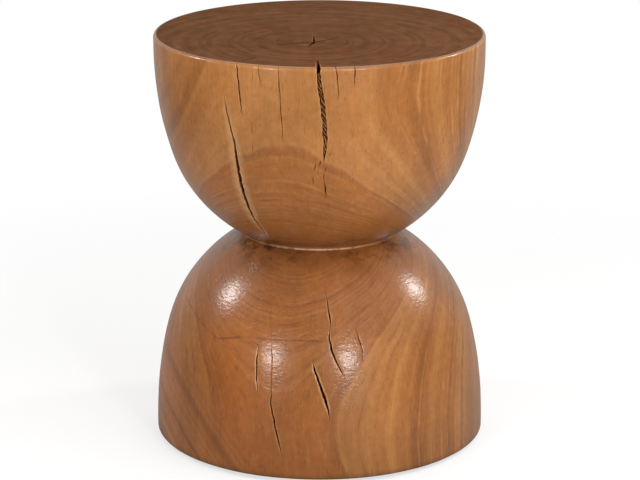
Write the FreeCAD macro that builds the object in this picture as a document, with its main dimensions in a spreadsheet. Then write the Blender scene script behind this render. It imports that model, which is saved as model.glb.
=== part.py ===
import FreeCAD, Part

import math
import os

import Sketcher
from FreeCAD import Vector

# A solid wood hourglass stool: two turned blocks of one log, glued waist to
# waist on fluted dowels, with drying checks along the grain and four nailed
# glides under the foot.
# Millimetres. Origin on the floor under the middle, +Z up, the front is -Y.

SIZES = {
    # the outline of the stool
    "overall_height": 450,
    "waist_height": 230.5,
    "waist_diameter": 172,
    "waist_land": 1.2,
    "seat_diameter": 358,
    "seat_wall": 14,
    "seat_turn": 17.8,
    "seat_flank": 61,
    "rim_round": 3.5,
    "base_diameter": 362,
    "base_wall": 14.5,
    "base_turn": 14.3,
    "base_flank": 61,
    "foot_round": 3.5,
    # the fluted dowels hidden in the waist
    "centre_dowel_diameter": 38,
    "centre_dowel_length": 150,
    "side_dowel_diameter": 16,
    "side_dowel_length": 90,
    "side_dowel_circle": 116,
    "side_dowel_bearing": 90,
    "dowel_chamfer": 1.5,
    "dowel_glue_gap": 0.1,
    "dowel_end_gap": 3,
    "flute_radius": 0.9,
    # the glides nailed under the foot
    "glide_diameter": 25,
    "glide_thickness": 4,
    "glide_edge_bevel": 1.2,
    "glide_circle": 300,
    "glide_bearing": 45,
    "nail_diameter": 2.6,
    "nail_length": 22,
    "nail_point": 4.5,
    "nail_gap": 0.05,
    "nail_head_diameter": 7,
    "nail_head_thickness": 1.1,
    "nail_recess_diameter": 8.6,
    "nail_recess_depth": 2.2,
    # the drying checks: width at the surface and depth into the wood
    "cut_overrun": 5,
    "front_check_width": 5.2,
    "front_check_depth": 24,
    "long_check_width": 4,
    "long_check_depth": 26,
    "rim_check_width": 1.9,
    "rim_check_depth": 14,
    "shoulder_check_width": 1.9,
    "shoulder_check_depth": 9,
    "middle_check_width": 2.4,
    "middle_check_depth": 13,
    "broad_check_width": 3,
    "broad_check_depth": 16,
    "left_check_width": 1.8,
    "left_check_depth": 10,
    "low_check_width": 2.2,
    "low_check_depth": 13,
    "filler_recess": 2.7,
    "filler_gap": 0.05,
    # the star of checks round the pith, on the seat
    "pith_side": 6,
    "pith_front": 55,
    "star_reach": 50,
    "star_width": 2.8,
    "star_depth": 9,
}

SIDE_DOWELS = 3
GLIDES = 4
FLUTES = 10
FULL_TURN = 360
SAME_SHARE = 0.001  # lengths that differ by less of a radius than this are the same

# Each check runs down the grain. Its heights are shares of its block's height,
# from the waist to the far face, its bearings are degrees round from the front,
# and its openings are shares of its own width.
SEAT_CHECKS = {
    "front_check": {
        "height_shares": (1.0, 0.94, 0.87, 0.79, 0.72, 0.64, 0.585, 0.535),
        "bearings": (-0.4, -0.1, 0.65, 1.25, 1.8, 2.0, 1.85, 1.45),
        "opening_shares": (0.7, 0.86, 0.94, 1.0, 0.95, 0.8, 0.55, 0.08),
    },
    "long_check": {
        "height_shares": (0.83, 0.77, 0.70, 0.60, 0.50, 0.40, 0.30, 0.20, 0.115),
        "bearings": (-33.1, -32.8, -32.0, -30.9, -31.0, -31.2, -31.1, -31.3, -31.0),
        "opening_shares": (0.08, 0.32, 0.45, 0.6, 0.85, 1.0, 0.85, 0.55, 0.1),
    },
    "rim_check": {
        "height_shares": (1.0, 0.95, 0.88, 0.83, 0.785, 0.745),
        "bearings": (-28.2, -27.9, -27.4, -27.0, -26.8, -26.5),
        "opening_shares": (0.6, 0.8, 1.0, 0.85, 0.5, 0.12),
    },
}
BASE_CHECKS = {
    "shoulder_check": {
        "height_shares": (0.166, 0.20, 0.247, 0.285),
        "bearings": (2.8, 3.6, 4.3, 4.65),
        "opening_shares": (0.12, 0.5, 1.0, 0.15),
    },
    "middle_check": {
        "height_shares": (0.31, 0.36, 0.40, 0.44, 0.475, 0.51),
        "bearings": (3.5, 4.1, 4.85, 6.15, 7.6, 8.9),
        "opening_shares": (0.25, 0.85, 1.0, 0.8, 0.55, 0.1),
    },
    "broad_check": {
        "height_shares": (0.434, 0.482, 0.541, 0.60, 0.647, 0.705),
        "bearings": (-2.75, -1.55, 0.05, 1.75, 2.8, 3.6),
        "opening_shares": (0.12, 0.75, 0.9, 1.0, 0.75, 0.08),
    },
    "left_check": {
        "height_shares": (0.382, 0.438, 0.531, 0.59),
        "bearings": (-23.4, -23.6, -22.8, -22.1),
        "opening_shares": (0.12, 1.0, 0.95, 0.12),
    },
    "low_check": {
        "height_shares": (0.575, 0.63, 0.71, 0.79, 0.84, 0.887),
        "bearings": (-17.0, -17.2, -15.9, -14.4, -13.5, -12.5),
        "opening_shares": (0.12, 0.7, 1.0, 0.85, 0.6, 0.1),
    },
}
# The star's arms: which way each runs, in degrees from +X, then its reach and
# its width as shares of the star's own.
STAR_ARM_SHARES = ((90, 1.0, 0.7), (40, 0.62, 0.8), (197, 0.84, 1.0), (255, 0.46, 0.65))
STAR_TAPER_SHARES = ((0.0, 1.0), (0.4, 0.75), (1.0, 0.08))
FILLED_STATIONS = slice(1, 7)

# The two blocks, each from the waist face to its far face.
SEAT = {
    "name": "seat_block",
    "up": 1,
    "radius": "sizes.seat_diameter / 2",
    "far": "sizes.overall_height",
    "wall": "sizes.seat_wall",
    "turn": "sizes.seat_turn",
    "flank": "sizes.seat_flank",
    "round": "sizes.rim_round",
}
BASE = {
    "name": "base_block",
    "up": -1,
    "radius": "sizes.base_diameter / 2",
    "far": "sizes.glide_thickness",
    "wall": "sizes.base_wall",
    "turn": "sizes.base_turn",
    "flank": "sizes.base_flank",
    "round": "sizes.foot_round",
}
JOINT = "sizes.waist_height"
WAIST = "sizes.waist_diameter / 2"
LAND = "sizes.waist_land"

doc = FreeCAD.newDocument("hourglass_stool")


def make_sheet():
    sheet = doc.addObject("Spreadsheet::Sheet", "sizes")
    for row, (alias, size) in enumerate(SIZES.items(), start=1):
        sheet.set(f"A{row}", alias)
        sheet.set(f"B{row}", str(size))
        sheet.setAlias(f"B{row}", alias)
    doc.recompute()
    return sheet


sheet = make_sheet()


def size(expression):
    """What an expression on the sheet comes to, in millimetres or degrees."""
    return float(sheet.evalExpression(expression.replace("sizes.", "")))


def new_body(name):
    body = doc.addObject("PartDesign::Body", name)
    body.Label = name
    return body


def new_sketch(body, name, role, level=None):
    """A sketch on one of the body's own planes, lifted to a level if one is given."""
    sketch = body.newObject("Sketcher::SketchObject", name)
    plane = next(f for f in body.Origin.OriginFeatures if f.Role == role)
    sketch.AttachmentSupport = [(plane, "")]
    sketch.MapMode = "FlatFace"
    if level:
        sketch.setExpression("AttachmentOffset.Base.z", level)
    return sketch


def dimension(sketch, name, expression, kind, *elements):
    """A driving dimension of a sketch, bound to the sheet."""
    amount = size(expression)
    if kind == "Angle":
        amount = math.radians(amount)
    index = sketch.addConstraint(Sketcher.Constraint(kind, *elements, amount))
    sketch.renameConstraint(index, name)
    sketch.setExpression(f"Constraints.{name}", expression)


def line(sketch, start, end, construction=False):
    return sketch.addGeometry(Part.LineSegment(Vector(*start), Vector(*end)), construction)


def join(sketch, pairs):
    for first, second in pairs:
        sketch.addConstraint(Sketcher.Constraint("Coincident", *first, *second))


# The outline of a block: a narrow land at the waist, a tight arc, a wide arc,
# and a short upright wall up to the far face.


def flank_arcs(block):
    """Radius and centre of the tight arc by the waist and of the wide arc above it."""
    radius, waist = size(block["radius"]), size(WAIST)
    turn, flank = math.radians(size(block["turn"])), math.radians(size(block["flank"]))
    rise = abs(size(block["far"]) - size(JOINT)) - size(block["wall"]) - size(LAND)
    reach = radius - waist
    turned_in = 1 - math.cos(turn)
    left_in = math.cos(turn) - math.cos(flank)
    left_up = math.sin(flank) - math.sin(turn)
    tight = (reach * math.sin(turn) - rise * turned_in) / (
        left_in * math.sin(turn) - left_up * turned_in
    )
    wide = (reach - tight * left_in) / turned_in
    wall_foot = size(block["far"]) - block["up"] * size(block["wall"])
    wide_centre = (radius - wide, wall_foot)
    tight_centre = (
        wide_centre[0] + (wide - tight) * math.cos(turn),
        wide_centre[1] - block["up"] * (wide - tight) * math.sin(turn),
    )
    return tight, tight_centre, wide, wide_centre


def flank_radius(block, height):
    """The block's radius at a height, read off its outline."""
    tight, tight_centre, wide, wide_centre = flank_arcs(block)
    up = block["up"]
    land_top = size(JOINT) + up * size(LAND)
    arcs_meet = wide_centre[1] - up * wide * math.sin(math.radians(size(block["turn"])))
    if up * (height - land_top) <= 0:
        return size(WAIST)
    if up * (height - wide_centre[1]) >= 0:
        return size(block["radius"])
    if up * (height - arcs_meet) >= 0:
        return wide_centre[0] + math.sqrt(wide**2 - (height - wide_centre[1]) ** 2)
    return tight_centre[0] + math.sqrt(tight**2 - (height - tight_centre[1]) ** 2)


def draw_outline(body, block):
    sketch = new_sketch(body, block["name"] + "_outline", "XZ_Plane")
    tight, tight_centre, wide, wide_centre = flank_arcs(block)
    up = block["up"]
    turn, flank = math.radians(size(block["turn"])), math.radians(size(block["flank"]))
    radius, waist = size(block["radius"]), size(WAIST)
    joint, far = size(JOINT), size(block["far"])
    land_top = joint + up * size(LAND)
    wall_foot = wide_centre[1]
    knee = (wide_centre[0] + wide * math.cos(turn), wide_centre[1] - up * wide * math.sin(turn))

    def arc(centre, arc_radius, first, last):
        low, high = sorted((-up * first, -up * last))
        circle = Part.Circle(Vector(*centre), Vector(0, 0, 1), arc_radius)
        return sketch.addGeometry(Part.ArcOfCircle(circle, low, high))

    joint_line = line(sketch, (0, joint), (waist, joint))
    land_line = line(sketch, (waist, joint), (waist, land_top))
    tight_arc = arc(tight_centre, tight, flank, turn)
    wide_arc = arc(wide_centre, wide, turn, 0)
    wall_line = line(sketch, (radius, wall_foot), (radius, far))
    far_line = line(sketch, (radius, far), (0, far))
    axis_line = line(sketch, (0, far), (0, joint))
    turn_spoke = line(sketch, wide_centre, knee, True)
    flank_spoke = line(sketch, tight_centre, (waist, land_top), True)

    # an arc runs anticlockwise, so on the base its ends change places
    near_end, far_end, centre = (1, 2, 3) if up > 0 else (2, 1, 3)
    join(
        sketch,
        [
            ((joint_line, 2), (land_line, 1)),
            ((land_line, 2), (tight_arc, near_end)),
            ((wall_line, 2), (far_line, 1)),
            ((far_line, 2), (axis_line, 1)),
            ((axis_line, 2), (joint_line, 1)),
            ((turn_spoke, 1), (wide_arc, centre)),
            ((turn_spoke, 2), (wide_arc, near_end)),
            ((flank_spoke, 1), (tight_arc, centre)),
            ((flank_spoke, 2), (tight_arc, near_end)),
        ],
    )
    sketch.addConstraint(
        [
            Sketcher.Constraint("Tangent", tight_arc, far_end, wide_arc, near_end),
            Sketcher.Constraint("Tangent", wide_arc, far_end, wall_line, 1),
            Sketcher.Constraint("Horizontal", joint_line),
            Sketcher.Constraint("Horizontal", far_line),
            Sketcher.Constraint("Vertical", land_line),
            Sketcher.Constraint("Vertical", wall_line),
            Sketcher.Constraint("PointOnObject", joint_line, 1, -2),
            Sketcher.Constraint("PointOnObject", far_line, 2, -2),
        ]
    )
    dimension(sketch, "joint_level", JOINT, "DistanceY", -1, 1, joint_line, 1)
    dimension(sketch, "far_level", block["far"], "DistanceY", -1, 1, far_line, 2)
    dimension(sketch, "waist_radius", WAIST, "DistanceX", -1, 1, joint_line, 2)
    dimension(sketch, "block_radius", block["radius"], "DistanceX", -1, 1, far_line, 1)
    dimension(sketch, "land", LAND, "Distance", land_line)
    dimension(sketch, "wall", block["wall"], "Distance", wall_line)
    sign = "-" if up > 0 else ""
    dimension(sketch, "turn", sign + block["turn"], "Angle", turn_spoke)
    dimension(sketch, "flank", sign + block["flank"], "Angle", flank_spoke)
    return sketch


def circle_sketch(body, name, level, radius, circle=None, bearing=None):
    """One circle on a level, in the middle or on a pitch circle at a bearing."""
    sketch = new_sketch(body, name, "XY_Plane", level)
    middle = (0, 0)
    if circle:
        angle = math.radians(size(bearing))
        middle = (size(circle) / 2 * math.cos(angle), size(circle) / 2 * math.sin(angle))
    ring = sketch.addGeometry(
        Part.Circle(Vector(*middle, 0), Vector(0, 0, 1), size(radius))
    )
    dimension(sketch, "ring_radius", radius, "Radius", ring)
    if circle:
        spoke = line(sketch, (0, 0), middle, True)
        join(sketch, [((spoke, 1), (-1, 1)), ((spoke, 2), (ring, 3))])
        dimension(sketch, "pitch_radius", circle + " / 2", "Distance", spoke)
        dimension(sketch, "bearing", bearing, "Angle", spoke)
    else:
        join(sketch, [((ring, 3), (-1, 1))])
    return sketch


def bore(body, name, sketch, depth, upwards, copies=1):
    """A round blind hole from a sketched circle, repeated round the axis."""
    doc.recompute()
    before = body.Shape.Volume
    hole = body.newObject("PartDesign::Pocket", name)
    hole.Profile = sketch
    hole.Reversed = upwards
    hole.setExpression("Length", depth)
    doc.recompute()
    if copies > 1:
        repeat_round(body, name + "_round", hole, sketch, copies)
    if body.Shape.Volume >= before:
        raise RuntimeError(f"{name} cuts nothing")


def repeat_round(body, name, feature, sketch, copies):
    pattern = body.newObject("PartDesign::PolarPattern", name)
    pattern.Originals = [feature]
    pattern.Axis = (sketch, ["N_Axis"])
    pattern.Angle = FULL_TURN
    pattern.Occurrences = copies
    body.Tip = pattern
    doc.recompute()


def ring_edges(shape, radius, level):
    """Names of the round edges of one radius at one height."""
    near = radius * SAME_SHARE
    return [
        f"Edge{number}"
        for number, edge in enumerate(shape.Edges, start=1)
        if isinstance(edge.Curve, Part.Circle)
        and abs(edge.Curve.Radius - radius) < near
        and abs(edge.Curve.Center.z - level) < near
    ]


# The two turned blocks.


def turned_block(block):
    body = new_body(block["name"] + "_turned")
    outline = draw_outline(body, block)
    turned = body.newObject("PartDesign::Revolution", block["name"] + "_revolved")
    turned.Profile = outline
    turned.ReferenceAxis = (outline, ["V_Axis"])
    turned.Angle = FULL_TURN
    doc.recompute()
    edges = ring_edges(turned.Shape, size(block["radius"]), size(block["far"]))
    rounding = body.newObject("PartDesign::Fillet", block["name"] + "_rounding")
    rounding.Base = (turned, edges)
    rounding.setExpression("Radius", block["round"])
    doc.recompute()

    upwards = block["up"] > 0
    centre = circle_sketch(
        body,
        block["name"] + "_centre_bore_circle",
        JOINT,
        "sizes.centre_dowel_diameter / 2 + sizes.dowel_glue_gap",
    )
    bore(
        body,
        block["name"] + "_centre_bore",
        centre,
        "sizes.centre_dowel_length / 2 + sizes.dowel_end_gap",
        upwards,
    )
    side = circle_sketch(
        body,
        block["name"] + "_side_bore_circle",
        JOINT,
        "sizes.side_dowel_diameter / 2 + sizes.dowel_glue_gap",
        "sizes.side_dowel_circle",
        "sizes.side_dowel_bearing",
    )
    bore(
        body,
        block["name"] + "_side_bore",
        side,
        "sizes.side_dowel_length / 2 + sizes.dowel_end_gap",
        upwards,
        SIDE_DOWELS,
    )
    return body


def drill_nail_holes(body):
    circle = circle_sketch(
        body,
        "nail_hole_circle",
        "sizes.glide_thickness",
        "sizes.nail_diameter / 2 + sizes.nail_gap",
        "sizes.glide_circle",
        "sizes.glide_bearing",
    )
    bore(body, "nail_hole", circle, "sizes.nail_length + sizes.nail_gap", True, GLIDES)


# Drying checks: V-shaped clefts that run along the grain and point at the heart
# of the log.


def cleft(stations):
    """A ruled wedge through V sections: (lip point, outward, across, half width, depth)."""
    overrun = size("sizes.cut_overrun")
    sections = []
    for lip, outward, across, half_width, depth in stations:
        spread = half_width * (1 + overrun / depth)
        apex = lip - outward * depth
        left = lip + outward * overrun - across * spread
        right = lip + outward * overrun + across * spread
        sections.append(Part.makePolygon([apex, left, right, apex]))
    return Part.makeLoft(sections, True, True)


def check_stations(block, name, check):
    """Lip point, outward, across, half width and depth at each station of a check."""
    joint, far = size(JOINT), size(block["far"])
    width, depth = size(f"sizes.{name}_width"), size(f"sizes.{name}_depth")
    rows = zip(check["height_shares"], check["bearings"], check["opening_shares"])
    stations = []
    for height_share, bearing, opening_share in rows:
        height = joint + height_share * (far - joint)
        angle = math.radians(bearing)
        outward = Vector(math.sin(angle), -math.cos(angle), 0)
        across = Vector(math.cos(angle), math.sin(angle), 0)
        lip = outward * flank_radius(block, height) + Vector(0, 0, height)
        half_width = width * opening_share / 2
        stations.append((lip, outward, across, half_width, depth * opening_share**0.5))
    return stations


def check_cutter(block, name, check):
    stations = check_stations(block, name, check)
    if check["height_shares"][0] == 1:  # this one opens through the rim
        lip, *rest = stations[0]
        above = Vector(0, 0, block["up"] * size("sizes.cut_overrun"))
        stations.insert(0, (lip + above, *rest))
    return cleft(stations)


def star_arm(turn, reach_share, width_share):
    """One check of the star, cut down into the seat from the pith outwards."""
    pith = Vector(
        -size("sizes.pith_side"), -size("sizes.pith_front"), size("sizes.overall_height")
    )
    angle = math.radians(turn)
    along = Vector(math.cos(angle), math.sin(angle), 0)
    across = Vector(-math.sin(angle), math.cos(angle), 0)
    reach = size("sizes.star_reach") * reach_share
    half_width = size("sizes.star_width") * width_share / 2
    depth = size("sizes.star_depth")
    stations = [
        (
            pith + along * reach * run_share,
            Vector(0, 0, 1),
            across,
            half_width * taper_share,
            depth * taper_share,
        )
        for run_share, taper_share in STAR_TAPER_SHARES
    ]
    return cleft(stations)


def add_shape(name, shape):
    feature = doc.addObject("Part::Feature", name)
    feature.Label = name
    feature.Shape = shape
    return feature


def open_checks(body, block, cutters):
    """The block with its checks cut out of it, under the block's own name."""
    tools = doc.addObject("Part::MultiFuse", block["name"] + "_checks")
    tools.Shapes = cutters
    checked = doc.addObject("Part::Cut", block["name"])
    checked.Label = block["name"]
    checked.Base = body
    checked.Tool = tools
    return checked


def make_seat_block():
    body = turned_block(SEAT)
    cutters = [
        add_shape(name + "_cutter", check_cutter(SEAT, name, check))
        for name, check in SEAT_CHECKS.items()
    ]
    cutters += [
        add_shape(f"star_cutter_{number}", star_arm(*arm))
        for number, arm in enumerate(STAR_ARM_SHARES, start=1)
    ]
    return open_checks(body, SEAT, cutters)


def make_base_block():
    body = turned_block(BASE)
    drill_nail_holes(body)
    cutters = [
        add_shape(name + "_cutter", check_cutter(BASE, name, check))
        for name, check in BASE_CHECKS.items()
    ]
    return open_checks(body, BASE, cutters)


def make_check_filler():
    """The strip of sawdust and glue pressed into the front check, below its lips."""
    check = SEAT_CHECKS["front_check"]
    recess, gap = size("sizes.filler_recess"), size("sizes.filler_gap")
    sections = []
    for lip, outward, across, half_width, depth in check_stations(SEAT, "front_check", check)[
        FILLED_STATIONS
    ]:
        lean = math.atan(half_width / depth)
        half_top = half_width * (1 - recess / depth) - gap / math.cos(lean)
        apex = lip - outward * (depth - gap / math.sin(lean))
        top = lip - outward * recess
        sections.append(
            Part.makePolygon([apex, top - across * half_top, top + across * half_top, apex])
        )
    return add_shape("check_filler", Part.makeLoft(sections, True, True))


# The fluted dowels across the glue line.


def make_dowel(name, diameter, length, circle=None, turn=0):
    body = new_body(name)
    foot = f"{JOINT} - {length} / 2"
    outline = circle_sketch(body, name + "_circle", foot, f"{diameter} / 2")
    rod = body.newObject("PartDesign::Pad", name + "_rod")
    rod.Profile = outline
    rod.setExpression("Length", length)
    doc.recompute()
    radius = size(f"{diameter} / 2")
    levels = (size(foot), size(foot) + size(length))
    ends = [edge for level in levels for edge in ring_edges(rod.Shape, radius, level)]
    chamfer = body.newObject("PartDesign::Chamfer", name + "_chamfer")
    chamfer.Base = (rod, ends)
    chamfer.setExpression("Size", "sizes.dowel_chamfer")
    doc.recompute()
    groove = circle_sketch(
        body, name + "_flute_circle", foot, "sizes.flute_radius", diameter, "0"
    )
    bore(body, name + "_flute", groove, length, True, FLUTES)
    if circle:
        bearing = f"(sizes.side_dowel_bearing + {turn}) * 1 deg"
        body.setExpression("Placement.Base.x", f"{circle} / 2 * cos({bearing})")
        body.setExpression("Placement.Base.y", f"{circle} / 2 * sin({bearing})")
    return body


def make_dowels():
    dowels = [
        make_dowel("centre_dowel", "sizes.centre_dowel_diameter", "sizes.centre_dowel_length")
    ]
    for number in range(SIDE_DOWELS):
        dowels.append(
            make_dowel(
                f"side_dowel_{number + 1}",
                "sizes.side_dowel_diameter",
                "sizes.side_dowel_length",
                "sizes.side_dowel_circle",
                number * FULL_TURN / SIDE_DOWELS,
            )
        )
    return dowels


# The glides and their nails.


def polygon_sketch(body, name, corners):
    """A closed outline through named corners, each (across, up) in sheet expressions."""
    sketch = new_sketch(body, name, "XZ_Plane")
    places = [(size(across), size(up)) for across, up in corners]
    sides = [
        line(sketch, place, places[(number + 1) % len(places)])
        for number, place in enumerate(places)
    ]
    join(
        sketch,
        [((side, 2), (sides[(number + 1) % len(sides)], 1)) for number, side in enumerate(sides)],
    )
    for number, (across, up) in enumerate(corners):
        for axis, expression, zero in (("X", across, -2), ("Y", up, -1)):
            if expression == "0":
                sketch.addConstraint(Sketcher.Constraint("PointOnObject", sides[number], 1, zero))
            else:
                dimension(
                    sketch,
                    f"corner_{number}_{axis.lower()}",
                    expression,
                    f"Distance{axis}",
                    -1,
                    1,
                    sides[number],
                    1,
                )
    return sketch


def spin(body, name, sketch):
    turned = body.newObject("PartDesign::Revolution", name)
    turned.Profile = sketch
    turned.ReferenceAxis = (sketch, ["V_Axis"])
    turned.Angle = FULL_TURN
    doc.recompute()
    return turned


def place_under_foot(body, turn):
    bearing = f"(sizes.glide_bearing + {turn}) * 1 deg"
    body.setExpression("Placement.Base.x", f"sizes.glide_circle / 2 * cos({bearing})")
    body.setExpression("Placement.Base.y", f"sizes.glide_circle / 2 * sin({bearing})")


def make_glide(number):
    """A moulded disc with a bevelled tread and a recess that sinks the nail's head."""
    name = f"glide_{number + 1}"
    body = new_body(name)
    hole = "sizes.nail_diameter / 2 + sizes.nail_gap"
    recess = "sizes.nail_recess_diameter / 2"
    rim = "sizes.glide_diameter / 2"
    outline = polygon_sketch(
        body,
        name + "_outline",
        [
            (recess, "0"),
            (rim, "0"),
            (rim, "sizes.glide_thickness"),
            (hole, "sizes.glide_thickness"),
            (hole, "sizes.nail_recess_depth"),
            (recess, "sizes.nail_recess_depth"),
        ],
    )
    disc = spin(body, name + "_disc", outline)
    bevel = body.newObject("PartDesign::Chamfer", name + "_bevel")
    bevel.Base = (disc, ring_edges(disc.Shape, size(rim), 0))
    bevel.setExpression("Size", "sizes.glide_edge_bevel")
    place_under_foot(body, number * FULL_TURN / GLIDES)
    return body


def make_nail(number):
    """A flat-headed nail: its head bears on the glide's recess, its shank is in the foot."""
    name = f"glide_nail_{number + 1}"
    body = new_body(name)
    shank = "sizes.nail_diameter / 2"
    head = "sizes.nail_head_diameter / 2"
    seat = "sizes.nail_recess_depth"
    tip = "sizes.glide_thickness + sizes.nail_length"
    outline = polygon_sketch(
        body,
        name + "_outline",
        [
            ("0", f"{seat} - sizes.nail_head_thickness"),
            (head, f"{seat} - sizes.nail_head_thickness"),
            (head, seat),
            (shank, seat),
            (shank, f"{tip} - sizes.nail_point"),
            ("0", tip),
        ],
    )
    spin(body, name + "_turned", outline)
    place_under_foot(body, number * FULL_TURN / GLIDES)
    return body


# Make everything, check it and write it.


def check_document():
    for item in doc.Objects:
        if {"Invalid", "Error"} & set(item.State):
            raise RuntimeError(f"{item.Label} failed: {item.State}")


def main():
    pieces = [make_seat_block(), make_base_block(), make_check_filler()]
    pieces += make_dowels()
    pieces += [make_glide(number) for number in range(GLIDES)]
    pieces += [make_nail(number) for number in range(GLIDES)]
    doc.recompute()
    check_document()
    os.makedirs("parts", exist_ok=True)
    for piece in pieces:
        shape = piece.Shape
        if shape.isNull() or not shape.isValid() or not shape.Solids:
            raise RuntimeError(f"{piece.Label} has no valid solid")
        shape.exportStep(os.path.join("parts", piece.Label + ".step"))
        print(piece.Label, len(shape.Solids), "solid", round(shape.Volume), "mm3")


main()
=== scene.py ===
import math

import bpy
import numpy as np
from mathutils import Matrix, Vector, noise


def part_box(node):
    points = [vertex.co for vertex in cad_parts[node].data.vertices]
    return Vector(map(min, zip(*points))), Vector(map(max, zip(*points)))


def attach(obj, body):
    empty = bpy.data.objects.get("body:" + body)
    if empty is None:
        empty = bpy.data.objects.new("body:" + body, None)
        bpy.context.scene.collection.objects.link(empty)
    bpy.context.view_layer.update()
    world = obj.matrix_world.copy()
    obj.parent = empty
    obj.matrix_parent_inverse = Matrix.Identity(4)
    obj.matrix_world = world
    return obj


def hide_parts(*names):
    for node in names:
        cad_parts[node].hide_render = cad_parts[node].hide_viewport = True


# An hourglass stool turned from a log

# lacquered hardwood with growth rings, drying checks along the grain, a glued waist,
# and nailed glides under the foot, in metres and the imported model's frame; -Y is the front
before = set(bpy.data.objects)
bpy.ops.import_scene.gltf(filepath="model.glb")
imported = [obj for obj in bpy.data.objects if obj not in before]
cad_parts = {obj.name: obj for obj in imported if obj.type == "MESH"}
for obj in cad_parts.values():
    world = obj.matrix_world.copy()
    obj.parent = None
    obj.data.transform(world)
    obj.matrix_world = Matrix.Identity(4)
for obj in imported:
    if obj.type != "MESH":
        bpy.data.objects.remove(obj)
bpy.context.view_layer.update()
mm = 0.001
print("frame loaded:", len(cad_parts), "nodes")


def addObject(name, data):
    made = bpy.data.objects.new(name, data)
    bpy.context.scene.collection.objects.link(made)
    return made


# Camera

cameraView = {
    "place": (0.5 * mm, -2743.4 * mm, 1020.1 * mm),
    "tiltDown": 16.332,  # degrees below level
    "lens": 145.99,
    "sensor": 36.0,
    "farthest": 50.0,
}


def addCamera(look):
    camera = addObject("camera", bpy.data.cameras.new("camera"))
    camera.location = look["place"]
    camera.rotation_euler = (math.radians(90 - look["tiltDown"]), 0, 0)
    camera.data.lens = look["lens"]
    camera.data.sensor_width = look["sensor"]
    camera.data.clip_end = look["farthest"]
    bpy.context.scene.camera = camera


addCamera(cameraView)
bpy.context.scene.view_settings.view_transform = "Standard"
print("camera set")


# A bench for building node trees, of materials and of geometry nodes alike


def paint(code):
    # an sRGB colour code such as "b87846", as a linear colour
    parts = [int(code[i : i + 2], 16) / 255 for i in (0, 2, 4)]
    linear = [c / 12.92 if c <= 0.04045 else ((c + 0.055) / 1.055) ** 2.4 for c in parts]
    return (*linear, 1.0)


class NodeBench:
    def __init__(self, tree):
        self.tree = tree
        tree.nodes.clear()

    def add(self, kind, settings=None, **wires):
        # settings are the node's own properties, wires are its inputs by name
        node = self.tree.nodes.new(kind)
        for name, value in (settings or {}).items():
            setattr(node, name, value)
        for name, value in wires.items():
            wanted = name.replace("_", " ")
            self.wire(next(s for s in node.inputs if s.name == wanted and s.enabled), value)
        return node

    def wire(self, socket, value):
        if isinstance(value, Signal):
            self.tree.links.new(value.socket, socket)
        elif isinstance(value, str) and socket.type == "RGBA":
            socket.default_value = paint(value)
        else:
            socket.default_value = value

    def take(self, node, output=None):
        # one of a node's outputs by its name, or the first that is in use
        return Signal(self, next(s for s in node.outputs if s.enabled and output in (None, s.name)))

    def get(self, kind, settings=None, output=None, **wires):
        return self.take(self.add(kind, settings, **wires), output)

    def sum(self, operation, *values, clamp=False):
        node = self.add("ShaderNodeMath", {"operation": operation, "use_clamp": clamp})
        for socket, value in zip(node.inputs, values):
            self.wire(socket, value)
        return self.take(node)

    def known(self, name, kind="FLOAT"):
        # a named attribute, in geometry nodes
        return self.get("GeometryNodeInputNamedAttribute", {"data_type": kind}, Name=name)

    def carried(self, name):
        # the same attribute, in a material
        return self.get("ShaderNodeAttribute", {"attribute_name": name}, "Fac")

    def coordinates(self):
        return self.get("ShaderNodeTexCoord", output="Object")


class Signal:
    # what runs from one node to the next: a number, a vector or a colour
    def __init__(self, bench, socket):
        self.bench = bench
        self.socket = socket

    def sum(self, operation, *others, clamp=False):
        return self.bench.sum(operation, self, *others, clamp=clamp)

    def __add__(self, other):
        return self.sum("ADD", other)

    def __sub__(self, other):
        return self.sum("SUBTRACT", other)

    def __mul__(self, other):
        return self.sum("MULTIPLY", other)

    def __abs__(self):
        return self.sum("ABSOLUTE")

    def times(self, factor, more):
        return self.sum("MULTIPLY_ADD", factor, more)

    def vector(self, operation, other):
        node = self.bench.add("ShaderNodeVectorMath", {"operation": operation})
        self.bench.wire(node.inputs[0], self)
        self.bench.wire(node.inputs["Scale"] if operation == "SCALE" else node.inputs[1], other)
        return self.bench.take(node)

    def stretched(self, *factors):
        return self.vector("MULTIPLY", factors)

    def scaled(self, factor):
        return self.vector("SCALE", factor)

    def split(self):
        node = self.bench.add("ShaderNodeSeparateXYZ", Vector=self)
        return [Signal(self.bench, socket) for socket in node.outputs]

    def rescale(self, low, high, start=0.0, end=1.0, smooth=True):
        settings = {"interpolation_type": "SMOOTHSTEP" if smooth else "LINEAR"}
        ends = {"From_Min": low, "From_Max": high, "To_Min": start, "To_Max": end}
        return self.bench.get("ShaderNodeMapRange", settings, Value=self, **ends)

    def cloud(self, scale, detail=2.0, roughness=0.5, seed=0.0):
        wires = {"Vector": self, "W": seed}
        wires |= {"Scale": scale, "Detail": detail, "Roughness": roughness}
        return self.bench.get("ShaderNodeTexNoise", {"noise_dimensions": "4D"}, **wires)

    def lines(self, scale, detail, roughness):
        wires = {"W": self, "Scale": scale, "Detail": detail, "Roughness": roughness}
        return self.bench.get("ShaderNodeTexNoise", {"noise_dimensions": "1D"}, **wires)

    def ramp(self, stops):
        node = self.bench.add("ShaderNodeValToRGB", Fac=self)
        elements = node.color_ramp.elements
        while len(elements) < len(stops):
            elements.new(0.5)
        for element, (place, code) in zip(elements, stops):
            element.position = place
            element.color = paint(code)
        return self.bench.take(node)

    def towards(self, other, share):
        # this colour, with a share of another in it
        wires = {"Factor": share, "A": self, "B": other}
        return self.bench.get("ShaderNodeMix", {"data_type": "RGBA"}, **wires)

    def bump(self, strength, distance):
        wires = {"Strength": strength, "Distance": distance, "Height": self}
        return self.bench.get("ShaderNodeBump", **wires)


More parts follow.
